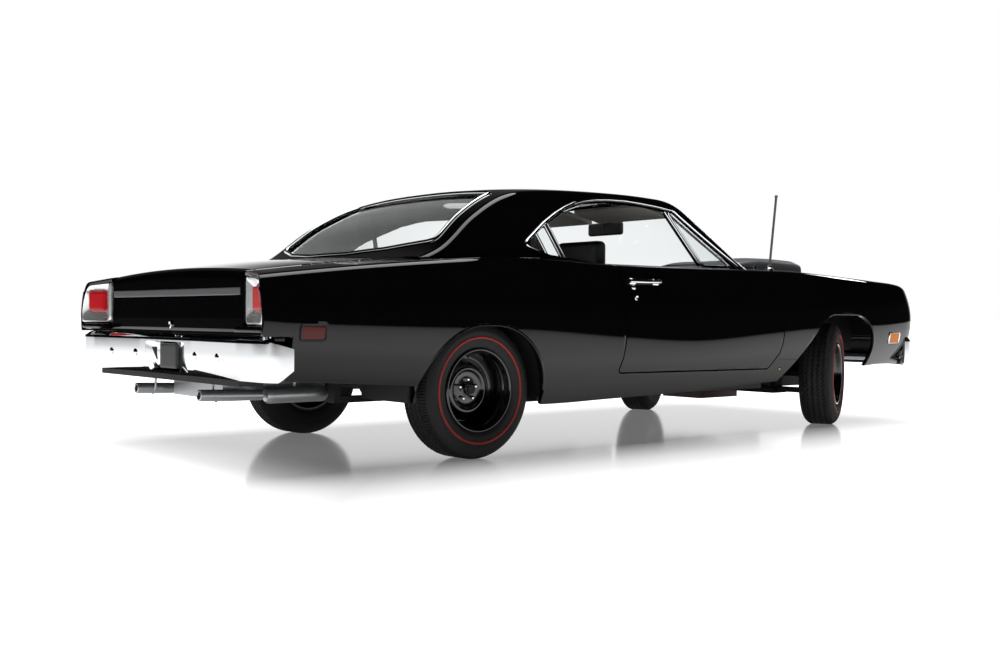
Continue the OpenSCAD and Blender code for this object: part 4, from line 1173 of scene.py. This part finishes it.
class HARDTOP_OT_wheels(bpy.types.Operator):
    """Model one wheel with its tyre, ring, dished disc, nuts and hub, and fit it at the four places."""
    bl_idname = "hardtop.wheels"
    bl_label = "Wheels"

    def execute(self, context):
        s, f = settings(), FINISHES
        tyre = tyre_skin(s)
        ring = turned([(13.55, 5.6), (13.6, 5.9), (13.75, 5.96), (14.0, 5.96), (14.15, 5.9), (14.2, 5.6)],
                      (0, 0, 0), (0, 0, 1), 160)
        disc = [(11.05, 4.7), (11.15, 5.15), (10.95, 5.45), (10.6, 5.5), (10.3, 5.25), (10.15, 4.6),
                (10.05, 3.5), (9.75, 3.15), (9.55, 2.6), (9.45, 0.6), (9.2, -0.9), (8.7, -1.5), (8.1, -1.5),
                (7.5, -1.0), (6.7, 0.1), (6.1, 0.55), (5.5, 0.6), (5.1, 0.4), (4.75, -0.1), (4.3, -0.25),
                (3.4, -0.25), (1.7, -0.15), (1.35, 0.1), (1.3, -2.4), (5, -2.6), (9.2, -3.4), (9.7, -5),
                (10.8, -5), (10.8, 4.4)]
        rim = turned(disc, (0, 0, 0), (0, 0, 1), 128)
        modified(rim, "BEVEL", width=0.12 * MM, segments=2, limit_method="ANGLE", angle_limit=radians(25))
        nuts = []
        for k in range(s.lugs):
            a = 2 * pi * k / s.lugs + pi / 2
            nut = turned([(0, -0.4), (0.62, -0.4), (0.62, 0.5), (0.5, 0.78), (0.2, 0.9), (0, 0.9)],
                         (2.75 * cos(a), 2.75 * sin(a), 0), (0, 0, 1), 6)
            nuts.append(nut)
        nuts.append(turned([(0, 0.2), (1.3, 0.2), (1.3, 1.1), (1.15, 1.5), (0.8, 1.72), (0, 1.76)], (0, 0, 0),
                           (0, 0, 1), 32))
        nuts = joined(nuts)
        valve = turned([(0, 0), (0.28, 0), (0.28, 1.3), (0.2, 1.5), (0, 1.5)], (0, 9.2, -0.6), (0, -0.5, 1),
                       12)
        pieces = [(tyre, "tyre", "rubber", "tyre_rubber", 40),
                  (ring, "red_ring", "redline", "tyre_rubber", 60),
                  (rim, "wheel", "wheel", "wheel_paint", 30), (nuts, "nuts", "chrome", "chrome_trim", 30),
                  (valve, "valve", "rubber", "tyre_rubber", 40)]
        for obj, kind, material, slot, angle in pieces:
            for i, (key, body) in enumerate(WHEELS.items()):
                one = obj
                if i < len(WHEELS) - 1:
                    work_on(obj)
                    bpy.ops.object.duplicate()
                    one = bpy.context.object
                one.data.transform(wheel_place(key))
                gone = {"tyre": ["tyre_" + key], "wheel": ["rim_" + key]}.get(kind, ())
                finished(one, kind + "_" + key, f[material], body, gone, angle)
        return {"FINISHED"}


class HARDTOP_OT_trim(bpy.types.Operator):
    """Lay the bright strips round the windows, the arch lips, and the handles, locks and markers."""
    bl_idname = "hardtop.trim"
    bl_label = "Bright trim"

    def execute(self, context):
        f = FINISHES
        side_up = (0, -1, 0.35)
        rail = [(-54.4, 55.7), (-60.4, 57.3), (-50.3, 64.0), (-45.0, 66.9), (-40.2, 69.1), (-35.8, 70.7),
                (-31.3, 71.8), (-26.0, 72.6), (-20.6, 73.0), (-13.0, 73.2), (-5.6, 72.9), (2.0, 72.4),
                (9.8, 71.7), (33.8, 54.2)]
        path = on_side(spaced(bent(rail, 2.2), 0.8), roof_at, 0.05)
        strips = [swept(path, bead(1.0, 0.5), side_up)]
        post = spaced([(-45.9, 54.2), (-49.6, 63.8)], 1.0)
        for shift in (-0.75, 0.75):
            strips.append(swept(on_side([(x + shift, z) for x, z in post], roof_at, -0.3), bead(0.5, 0.4),
                                side_up))
        finished(both_sides(joined(strips)), "drip_rails", f["chrome"], "body")
        bar = swept(on_side(post, roof_at, -0.4), bead(1.3, 0.3), side_up)
        finished(both_sides(bar), "quarter_posts", f["trim"], "body")

        view, run = windshield_view()
        outline = looped(grown(windshield_outline(run), 0.35), 1.2)
        screen = swept(on_window(view, outline), bead(1.0, 0.45), (0.5, 0, 0.86), closed=True)
        view, run = backlight_view()
        outline = looped(grown(backlight_outline(run), 0.3), 1.2)
        back = swept(on_window(view, outline), bead(1.1, 0.5), (-0.5, 0, 0.86), closed=True)
        finished(joined([screen, back]), "window_strips", f["chrome"], "body")

        pane = looped(rounded(VENT, 0.5, 3), 1.0)
        frame_strip = swept(on_side(pane, roof_at, -0.2), bead(0.7, 0.45, 0.8), side_up, closed=True)
        second = spaced([(5.0, 70.9), (15.1, 54.2)], 1.0)
        frame_strip = joined([frame_strip, swept(on_side(second, roof_at, -0.2), bead(0.6, 0.45, 0.8),
                                                 side_up)])
        on_doors(frame_strip, "vent_frame", f["chrome"])

        lips = []
        for arch, low in ((front_arch(), 18.6), (rear_arch(), 16.0)):
            line = [(x - SHIFT, z) for x, z in arch if z > low]
            lips.append(swept(on_side(spaced(line, 0.9), body_at, -0.35),
                              [(-0.5, -0.9), (0.2, -0.9), (0.25, 0.25), (0.0, 0.42), (-0.3, 0.42),
                               (-0.5, 0.25)], (0, -1, 0)))
        finished(both_sides(joined(lips)), "arch_lips", f["enamel"], "body")

        seam = swept(on_side(spaced([(47.2, 24.4), (57.6, 24.1)], 0.8), body_at), bead(0.35, 0.03),
                     (0, -1, 0))
        finished(both_sides(seam), "fender_seams", f["trim"], "body")
        rivet = turned([(0, -0.2), (0.55, -0.2), (0.5, 0.15), (0.25, 0.3), (0, 0.32)],
                       (48.6 + SHIFT, -body_at(48.6, 21.2), 21.2), (0, -1, -0.2), 20)
        finished(both_sides(rivet), "fender_rivets", f["brass"], "body")

        def handle():
            y = -body_at(-18, 48.2)

            def tapered(q, half):
                thin = 1 - 0.35 * (q[:, 0] > 0) * q[:, 0] / half[0]
                return q * np.stack([np.ones(len(q)), np.ones(len(q)), thin], axis=1)
            lever = pillow((-24.4 + SHIFT, y - 1.2, 47.7), (-11 + SHIFT, y - 0.35, 49.0), 0.4, 12, tapered)
            pads = [pillow((x + SHIFT, y - 0.7, 47.2), (x + 2.6 + SHIFT, y + 0.3, 49.1), 0.4, 8)
                    for x in (-24.4, -14.4)]
            button = turned([(0, -0.3), (0.85, -0.3), (0.85, 0.5), (0.65, 0.72), (0, 0.78)],
                            (-22.7 + SHIFT, y, 46.4), (0, -1, 0), 28)
            lock = turned([(0, -0.3), (0.75, -0.3), (0.75, 0.25), (0.55, 0.4), (0.3, 0.3), (0, 0.3)],
                          (-22.4 + SHIFT, -body_at(-22, 43.4), 43.4), (0, -1, 0), 28)
            return joined([lever, *pads, button, lock])
        on_doors(handle(), "door_handle", f["chrome"], "handle")

        for name, mark, lens, slot, rim in (("front", FRONT_MARK, "amber", "lens_amber", "chrome"),
                                            ("rear", REAR_MARK, "dark_red", "lens_red", "trim")):
            (x0, z0), (x1, z1) = mark[0], mark[2]
            patch = half_skin(body_section, x0 - 2, x1 + 2, 0.1, 0.4, 0.6, -0.15)
            trim(patch, rounded(moved(mark), 0.5), SIDE, True)
            walled(patch, 1.0, 0.1)
            finished(both_sides(patch), name + "_marker_lens", f[lens], "body", [name + "_markers"])
            loop = looped(rounded(grown(mark, 0.1), 0.6, 3), 0.6)
            strip = swept(on_side(loop, body_at, 0.0), bead(0.6, 0.4), (0, -1, 0), closed=True)
            finished(both_sides(strip), name + "_marker_frame", f[rim], "body")
        return {"FINISHED"}


class HARDTOP_OT_top(bpy.types.Operator):
    """Set the scoop, hood pins, wipers, aerial, sun visors and inside mirror."""
    bl_idname = "hardtop.top"
    bl_label = "Hood and cowl pieces"

    def execute(self, context):
        f = FINISHES
        x0, x1 = 62.0, 101.0
        along, round_it = 39, 64
        rings = []
        for u in np.linspace(0, 1, along + 1):
            x = x0 + (x1 - x0) * u
            half = np.interp(x, (62, 70, 80, 101), (16.4, 19.8, 22, 23.6))
            top = np.interp(x, (62, 66, 70, 74, 78, 88, 98, 101),
                            (55.2, 57.9, 59.0, 59.9, 60.4, 60.5, 60.2, 59.4))
            ring = []
            for a in np.linspace(0, pi, round_it + 1):
                c, d = cos(a), sin(a)
                y = half * np.sign(c) * abs(c)**0.32
                base = deck_at(x, y) - 0.3
                ring.append((x + SHIFT, y, base + (top - base) * d**0.32))
            rings.append(ring)
        rings = np.array(rings)

        def place(u, v):
            i, k = np.rint(u * along).astype(int), np.rint(v * round_it).astype(int)
            return tuple(rings[i, k].T)
        scoop = edited(surface(along, round_it, place), outward)
        modified(scoop, "SOLIDIFY", thickness=1.4 * MM, offset=-1)
        modified(scoop, "BEVEL", width=0.3 * MM, segments=3, limit_method="ANGLE", angle_limit=radians(60))
        back = pillow((x0 + 22 + SHIFT, -21, 54.8), (x0 + 23.2 + SHIFT, 21, 59.2), 0.4, 6)
        finished(joined([scoop, back]), "scoop", f["satin"], "hood_panel", ["hood_scoop"])

        pins = []
        for x, y in ((57, 35), (57, -35), (128.2, 32), (128.2, -32)):
            z = deck_at(x, y)
            pins.append(turned([(0, -9), (0.6, -9), (0.6, 1.9), (0.45, 2.2), (0, 2.3)], (x + SHIFT, y, z),
                               (0, 0, 1), 20))
            pins.append(turned([(0.62, 0.05), (1.9, 0.05), (1.9, 0.25), (1.7, 0.4), (0.62, 0.4)],
                               (x + SHIFT, y, z), (0, 0, 1), 28))
            clip = [(x + SHIFT + 3 * cos(a) - 3, y + 1.1 * sin(a), z + 1.2) for a in np.linspace(0.2,
                                                                                                 2 * pi - 0.2,
                                                                                                 24)]
            pins.append(swept(clip, rod(0.22, 8), (0, 0, 1)))
        finished(joined(pins), "hood_pin_set", f["chrome"], "body", ["hood_pins"])

        arms = []
        for y in (-24, 6):
            z = 56.0
            arms.append(turned([(0, -0.6), (1.0, -0.6), (1.0, 0.5), (0.8, 0.8), (0, 0.9)], (49 + SHIFT, y, z),
                               (0, 0, 1), 20))
            line = spaced([(49 + SHIFT, y, z + 0.6), (47.6 + SHIFT, y + 9, z + 0.9),
                           (46.6 + SHIFT, y + 20, z + 0.9)], 1.5)
            arms.append(swept(line, [(-0.35, -0.2), (0.35, -0.2), (0.35, 0.2), (-0.35, 0.2)], (0, 0, 1)))
        finished(joined(arms), "wiper_arms", f["flat"], "body", ["wipers"])

        foot = (50.8 + SHIFT, -45.4)
        z = deck_at(50.8, 45.4)
        base = turned([(0, -0.5), (1.35, -0.5), (1.35, 0.3), (1.1, 0.7), (0.6, 0.95), (0.6, 1.5), (0, 1.5)],
                      (*foot, z), (0, 0, 1), 28)
        finished(base, "aerial_foot", f["chrome"], "body")
        wire = swept(spaced([(*foot, z + 0.8), (54.2 + SHIFT, -45.4, 78.8)], 1.5), rod(0.4), (0, 1, 0))
        tip = turned([(0, -0.6), (0.3, -0.52), (0.52, -0.3), (0.6, 0), (0.52, 0.3), (0.3, 0.52), (0, 0.6)],
                     (54.2 + SHIFT, -45.4, 79.0), (0, 0, 1), 20)
        finished(joined([wire, tip]), "aerial", f["aerial"], "body", ["antenna"])

        shell = pillow((17.7 + SHIFT, -8, 66.2), (19.6 + SHIFT, 8, 70.7), 0.9, 14)
        # Two padded sun visors hang under the windshield header
        visors = [swept(spaced([(7.6 + SHIFT, y, 71.9), (7.6 + SHIFT, y + 30, 71.9)], 2.0),
                        rounded([(-6.5, -0.7), (6.5, -0.7), (6.5, 0.7), (-6.5, 0.7)], 0.6, 4),
                        (0.22, 0, 0.975)) for y in (-32, 2)]
        finished(joined(visors), "sun_visors", f["liner"], "body")
        stem = swept(spaced([(18.4 + SHIFT, 0, 69), (17.6 + SHIFT, 0, 72.2)], 0.5), rod(1.0), (0, 1, 0))
        plate = pillow((15.6 + SHIFT, -2.6, 71.7), (18.4 + SHIFT, 2.6, 73.0), 0.5, 8)
        finished(joined([shell, stem, plate]), "inside_mirror", f["trim"], "body",
                 ["cabin_mirror"])
        return {"FINISHED"}


class HARDTOP_OT_cabin(bpy.types.Operator):
    """Mould the seats, the dashboard and the steering wheel."""
    bl_idname = "hardtop.cabin"
    bl_label = "Cabin"

    def execute(self, context):
        f = FINISHES

        def pleated(q, half, axis, pitch, depth, lean=0.0):
            """Presses even grooves into the face along an axis and leans the piece back as it rises."""
            y = np.abs((q[:, 1] / pitch) % 1 - 0.5) * 2
            face = np.clip(q[:, axis] / half[axis], 0, 1)**2
            inner = np.clip((half[1] * 0.86 - np.abs(q[:, 1])) / 2, 0, 1)
            q = q.copy()
            q[:, axis] -= depth * np.clip((y - 0.8) / 0.2, 0, 1) * face * inner
            q[:, axis] += 0.6 * face * np.cos(np.clip(q[:, 1] / half[1], -1, 1) * pi / 2)
            q[:, 0] -= lean * (q[:, 2] + half[2])
            return q

        def bench(name, x0, x1, back, z0, z1, z2, half, heads, gone):
            lean = (x0 - back) / (z2 - z1)
            parts = []
            for y0, y1 in ((-half, -0.4), (0.4, half)):
                parts.append(pillow((x0 - 1, y0, z0 + 0.1), (x1 + SHIFT, y1, z1 - 0.5), 2.2, 30,
                                    lambda q, h: pleated(q, h, 2, 3.4, 0.5)))
                parts.append(pillow((x0 - 0.4 + SHIFT, y0, z0 + 2), (x0 + 4.6 + SHIFT, y1, z2), 2.2, 30,
                                    lambda q, h: pleated(q, h, 0, 3.4, 0.5, lean * 0.75)))
            for y in heads:
                parts.append(pillow((back - 0.5 + SHIFT, y - 9.4, z2 - 1),
                                    (back + 4.1 + SHIFT, y + 9.4, z2 + 10.5), 1.7, 20))
            finished(joined(parts), name, f["vinyl"], "body", gone, 50)

        bench("front_bench", -7, 19, -15, 18.1, 30, 51, 38, (-20, 20), ["front_seat"])
        bench("rear_bench", -70, -47, -78, 25.5, 33, 47, 34, (), ["rear_seat"])

        pad = pillow((33 + SHIFT, -44.8, 38), (42 + SHIFT, 44.8, 49.6), 2.6, 30)
        shelf = pillow((41 + SHIFT, -38, 42), (49.3 + SHIFT, 38, 46), 1.0, 10)
        finished(joined([pad, shelf]), "dash", f["trim"], "body", ["dashboard"])
        dials = []
        for y in (13, 20, 27):
            dials.append(turned([(0, 0), (2.5, 0), (2.9, 0.25), (2.9, 0.7), (2.6, 0.8), (2.4, 0.4),
                                 (0, 0.35)], (33 + SHIFT, y, 45), (-1, 0, 0.1), 40))
        finished(joined(dials), "dials", f["chrome"], "body")

        tilt = Matrix.Translation(Vector((25 + SHIFT, 20, 46)) * MM) @ Matrix.Rotation(radians(-65), 4, "Y")
        grip = [(10 * cos(a), 10 * sin(a), 0) for a in np.linspace(0, 2 * pi, 97)[:-1]]
        parts = [swept(grip, rod(0.7), (0, 0, 1), closed=True)]
        for a in (0, 2 * pi / 3, 4 * pi / 3):
            spoke = spaced([(1.5 * cos(a), 1.5 * sin(a), -0.5), (9.7 * cos(a), 9.7 * sin(a), 0)], 1.0)
            parts.append(swept(spoke, [(-0.9, -0.25), (0.9, -0.25), (0.9, 0.25), (-0.9, 0.25)], (0, 0, 1)))
        parts.append(turned([(0, 0.5), (1.6, 0.4), (2.1, 0), (2.1, -0.6), (1.2, -1.2), (1.2, -8), (0, -8)],
                            (0, 0, 0), (0, 0, 1), 32))
        wheel = joined(parts)
        wheel.data.transform(tilt)
        finished(wheel, "hand_wheel", f["trim"], "body", ["steering_wheel"])
        return {"FINISHED"}


class HARDTOP_OT_front(bpy.types.Operator):
    """Close the nose round the grille and fit the grille bars and lamps."""
    bl_idname = "hardtop.front"
    bl_label = "Front"

    def execute(self, context):
        f = FINISHES
        count = 200
        y, z = body_section(np.full(200, BODY[-1, 0]), np.linspace(0, 1, 200))
        keep = z > 31.1
        half = list(zip(y[keep], z[keep]))[::2]
        outer = [(float(a), float(b)) for a, b in half] + [(-float(a), float(b)) for a, b in half[::-1]]
        outer = [(outer[0][0], 30.9)] + outer + [(outer[-1][0], 30.9)]
        centre = (0, 38.5)
        rim = around(outer, centre, count)
        hole = around(slab(-45, 45, 31.0, 46, 3.0), centre, count)
        rings = []
        for share, x in ((0.0, 138.9), (0.25, 139.25), (0.7, 139.2), (1.0, 138.6), (1.0, 134.0)):
            rings.append([(x + SHIFT, a, b) for a, b in rim + (hole - rim) * share])
        finished(ringed(rings), "nose_rim", f["enamel"], "body")
        edge = [(138.9 + SHIFT, a, b) for a, b in around(slab(-44.8, 44.8, 31.3, 45.8, 3.0), centre, 160)]
        finished(swept(edge, rod(0.45, 10), (1, 0, 0), closed=True), "grille_edge", f["chrome"], "body")

        bars = [pillow((131.5 + SHIFT, -44.6, 31.4), (132.6 + SHIFT, 44.6, 45.6), 0.3, 6)]
        for z in np.arange(33.2, 45, 1.6):
            bars.append(pillow((132 + SHIFT, -44, z - 0.25), (133.8 + SHIFT, 44, z + 0.25), 0.2, 6))
        for y in np.linspace(-19, 19, 11):
            bars.append(pillow((132 + SHIFT, y - 0.3, 31.8), (134 + SHIFT, y + 0.3, 45.4), 0.2, 6))
        finished(joined(bars), "grille_bars", f["flat"], "body", ["grille"])
        bowls, rims = [], []
        for y in (-38, -27, 27, 38):
            at = (133.4 + SHIFT, y, 38.6)
            bowls.append(turned([(0, 2.5), (1.6, 2.4), (3.2, 2.0), (4.1, 1.4), (4.2, 0), (0, 0)], at,
                                (1, 0, 0), 48))
            rims.append(turned([(4.1, 0), (4.9, 0), (4.9, 1.8), (4.7, 2.2), (4.4, 2.2), (4.1, 1.7)], at,
                               (1, 0, 0), 48))
        finished(joined(bowls), "head_lamps", f["lamp"], "body", ["headlamps"])
        finished(joined(rims), "head_lamp_rims", f["chrome"], "body")
        return {"FINISHED"}


class HARDTOP_OT_below(bpy.types.Operator):
    """Shape the exhausts with their tips, a flat black plug of painted shade in each bore, and hangers, and
    close the rear wheelhouses.
    """
    bl_idname = "hardtop.below"
    bl_label = "Exhaust"

    def execute(self, context):
        f = FINISHES
        y, z = 18.4, 17.2
        tip = turned([(0.9, 0), (1.05, -0.1), (1.45, 0), (1.45, 9), (1.3, 17), (0.9, 17)],
                     (-142.6 + SHIFT, y, z + 0.5), (1, 0, -0.03), 36)
        box = turned([(0, 0), (1.5, 0.1), (2.0, 0.8), (2.1, 1.8), (2.1, 16.6), (2.0, 17.4), (1.5, 18),
                      (0, 18.1)], (-124.6 + SHIFT, y, z - 0.2), (1, 0, 0), 40)
        strap = swept(spaced([(-115 + SHIFT, y - 1.5, z), (-115 + SHIFT, y - 1.5, 20.9)], 1), rod(0.4, 8),
                      (1, 0, 0))
        x = -138 + SHIFT
        line = [(x, y - 1.9, 22), (x, y - 1.7, z + 0.5), (x, y, z - 1.2)]
        hook = swept(spaced(line, 0.6), rod(0.35, 8), (1, 0, 0))
        finished(both_sides(joined([tip, box, strap, hook])), "exhausts", f["silver"], "body",
                 ["exhaust"])
        # Painted shade: a flat black plug just inside each tip stands in for the dark of the open bore
        painted_bore_shade = turned([(0, 0.35), (0.95, 0.3), (0.95, 0.9), (0, 0.9)], (-142.6 + SHIFT, y, z + 0.5),
                      (1, 0, -0.03), 24)
        finished(both_sides(painted_bore_shade), "exhaust_bore_shade", f["flat"], "body")

        # Wheelhouses close the rear arches towards the trunk
        reach, hub = 22.0, REAR_X - 1.8
        ring = [((reach + 0.8) * cos(a), (reach + 0.8) * sin(a)) for a in np.linspace(-0.1, pi + 0.1, 48)]
        ring += [(reach * cos(a), reach * sin(a)) for a in np.linspace(pi + 0.1, -0.1, 48)]
        wall = [((reach + 0.8) * cos(a), (reach + 0.8) * sin(a)) for a in np.linspace(0.24, pi - 0.24, 40)]
        house = [swept(spaced([(hub, -48.6, AXLE_Z), (hub, -28.6, AXLE_Z)], 2.0), ring, (0, 0, 1)),
                 swept([(hub, -29.2, AXLE_Z), (hub, -28.4, AXLE_Z)], wall, (0, 0, 1))]
        house.append(pillow((-136.2 + SHIFT, -48.2, 23.5), (hub - reach + 3.0, -29.0, 24.6), 0.3, 8))
        finished(both_sides(joined(house)), "wheelhouses", f["flat"], "body")
        return {"FINISHED"}


class HARDTOP_OT_stage(bpy.types.Operator):
    """Lay the floor, light the studio and set the camera."""
    bl_idname = "hardtop.stage"
    bl_label = "Stage"

    def execute(self, context):
        scene = context.scene
        clear()
        bpy.ops.mesh.primitive_grid_add(x_subdivisions=8, y_subdivisions=8, size=40)
        floor = bpy.context.object
        floor.name = "floor"
        white = grained(finish("white_acrylic_floor", colours().floor, Roughness=0.12, Specular_IOR_Level=0.5,
                               Emission_Color=(1, 1, 1, 1)), 6.0, 0.003, 0.3)
        floor.data.materials.append(white)
        # Painted light: the floor glows white for the camera, with painted shade where the glow is dim under
        # the car; reflections see the glow fade with distance
        tree = white.node_tree
        ground = add(tree, "ShaderNodeTexCoord")
        axes = add(tree, "ShaderNodeSeparateXYZ", None, {0: ground.outputs["Object"]})
        spread = {}
        for axis, half in (("X", 0.11), ("Y", 0.05)):
            size = add(tree, "ShaderNodeMath", None, {0: axes.outputs[axis]}, operation="ABSOLUTE")
            spread[axis] = add(tree, "ShaderNodeMapRange", {"From Min": half, "From Max": half + 0.07},
                               {"Value": size.outputs["Value"]}, interpolation_type="SMOOTHSTEP")
        away = add(tree, "ShaderNodeMath", None, {0: spread["X"].outputs["Result"],
                                                  1: spread["Y"].outputs["Result"]}, operation="MAXIMUM")
        # Painted shade: the floor's glow drops to 0.14 under the car, standing in for its shadow
        painted_shade_under_car = add(tree, "ShaderNodeMapRange", {"To Min": 0.14, "To Max": 1.0},
                    {"Value": away.outputs["Value"]})
        near = add(tree, "ShaderNodeMapRange", {"From Min": -1.8, "From Max": -0.22, "To Min": 0.02,
                                                "To Max": 1.0}, {"Value": axes.outputs["Y"]},
                   interpolation_type="SMOOTHSTEP")
        left = add(tree, "ShaderNodeVectorMath", {1: (-0.955, 0.297, 0.0)}, {0: ground.outputs["Object"]},
                   operation="DOT_PRODUCT")
        aside = add(tree, "ShaderNodeMapRange", {"From Min": 0.75, "From Max": 1.8, "To Min": 1.0,
                                                 "To Max": 0.03}, {"Value": left.outputs["Value"]},
                    interpolation_type="SMOOTHSTEP")
        far = add(tree, "ShaderNodeMath", None, {0: near.outputs["Result"], 1: aside.outputs["Result"]},
                  operation="MULTIPLY")
        seen = add(tree, "ShaderNodeMath", None, {0: far.outputs["Value"],
                   1: add(tree, "ShaderNodeLightPath").outputs["Is Camera Ray"]}, operation="MAXIMUM")
        painted_glow = add(tree, "ShaderNodeMath", None, {0: painted_shade_under_car.outputs["Result"], 1: seen.outputs["Value"]},
                   operation="MULTIPLY").outputs["Value"]
        tree.links.new(painted_glow, tree.nodes["Principled BSDF"].inputs["Emission Strength"])

        world = bpy.data.worlds.new("studio")
        scene.world = world
        world.use_nodes = True
        tree = world.node_tree
        tree.nodes.clear()
        place = add(tree, "ShaderNodeTexCoord")
        far = add(tree, "ShaderNodeVectorMath", {1: (0.655, 0.755, 0.0)}, {0: place.outputs["Generated"]},
                  operation="DOT_PRODUCT")
        sweep = add(tree, "ShaderNodeMapRange", {"From Min": 0.6, "From Max": 0.9, "To Min": 0.012,
                                                 "To Max": 1.0}, {"Value": far.outputs["Value"]},
                    interpolation_type="SMOOTHSTEP")
        axes = add(tree, "ShaderNodeSeparateXYZ", None, {0: place.outputs["Generated"]})
        card = add(tree, "ShaderNodeMapRange", {"From Min": 0.1, "From Max": 0.22, "To Min": 1.0,
                                                "To Max": 0.06}, {"Value": axes.outputs["Z"]},
                   interpolation_type="SMOOTHSTEP")
        lit = add(tree, "ShaderNodeMath", None, {0: sweep.outputs["Result"], 1: card.outputs["Result"]},
                  operation="MULTIPLY")
        path = add(tree, "ShaderNodeLightPath")
        seen = add(tree, "ShaderNodeMath", None, {0: path.outputs["Is Camera Ray"],
                                                  1: path.outputs["Is Transmission Ray"]},
                   operation="MAXIMUM")
        pick = add(tree, "ShaderNodeMath", None, {0: lit.outputs["Value"], 1: seen.outputs["Value"]},
                   operation="MAXIMUM")
        back = add(tree, "ShaderNodeBackground", {"Color": (1, 1, 1, 1)}, {"Strength": pick.outputs["Value"]})
        add(tree, "ShaderNodeOutputWorld", None, {"Surface": back.outputs["Background"]})

        # Softboxes: name, place, aim, width, depth, watts
        for name, place, aim, width, depth, power in (
                ("overhead", (0.0, 0.0, 0.75), (0, 0, 0), 0.9, 0.5, 6.0),
                ("front_card", (0.624, 0.036, 0.346), (0.11, -0.05, 0.05), 0.14, 0.05, 0.35)):
            clear()
            bpy.ops.object.light_add(type="AREA", location=place)
            lamp = bpy.context.object
            lamp.name = name
            lamp.data.shape = "RECTANGLE"
            lamp.data.size, lamp.data.size_y, lamp.data.energy = width, depth, power
            lamp.rotation_euler = (Vector(aim) - Vector(place)).to_track_quat("-Z", "Y").to_euler()

        turn, lift, roll = radians(49.0798), radians(0.7406), radians(0.445)
        toward = Vector((cos(turn) * cos(lift), sin(turn) * cos(lift), -sin(lift)))
        right = toward.cross(Vector((0, 0, 1))).normalized()
        up = right.cross(toward)
        level = right * cos(roll) + up * sin(roll)
        clear()
        bpy.ops.object.camera_add()
        camera = bpy.context.object
        above = level.cross(toward)
        spot = Vector((-269.79 + SHIFT, -277.09, 37.02)) * MM
        camera.matrix_world = Matrix.Translation(spot) @ Matrix((level, above, -toward)).transposed().to_4x4()
        camera.data.sensor_width = 36.0
        camera.data.lens = 41.163
        camera.data.clip_start = 0.01
        scene.camera = camera
        scene.view_settings.view_transform = "Standard"
        return {"FINISHED"}


class HARDTOP_PT_panel(bpy.types.Panel):
    """Lists the steps that dress the model."""
    bl_label = "Hardtop"
    bl_space_type = "VIEW_3D"
    bl_region_type = "UI"
    bl_category = "Hardtop"

    def draw(self, context):
        for group in (context.scene.hardtop_sizes, context.scene.hardtop_colours):
            for name in group.bl_rna.properties.keys():
                if name not in ("rna_type", "name"):
                    self.layout.prop(group, name)
        for step in STEPS:
            self.layout.operator(step.bl_idname)


STEPS = (HARDTOP_OT_finishes, HARDTOP_OT_body, HARDTOP_OT_doors, HARDTOP_OT_hood, HARDTOP_OT_lid,
         HARDTOP_OT_glass, HARDTOP_OT_tail, HARDTOP_OT_bumpers, HARDTOP_OT_wheels, HARDTOP_OT_trim,
         HARDTOP_OT_top, HARDTOP_OT_cabin, HARDTOP_OT_front, HARDTOP_OT_below, HARDTOP_OT_stage)
CLASSES = (HardtopSizes, HardtopColours, *STEPS, HARDTOP_PT_panel)


def register():
    for cls in CLASSES:
        bpy.utils.register_class(cls)
    bpy.types.Scene.hardtop_sizes = PointerProperty(type=HardtopSizes)
    bpy.types.Scene.hardtop_colours = PointerProperty(type=HardtopColours)


def unregister():
    del bpy.types.Scene.hardtop_colours
    del bpy.types.Scene.hardtop_sizes
    for cls in reversed(CLASSES):
        bpy.utils.unregister_class(cls)


def main():
    register()
    for step in STEPS:
        group, name = step.bl_idname.split(".")
        getattr(getattr(bpy.ops, group), name)()


if __name__ == "__main__":
    main()
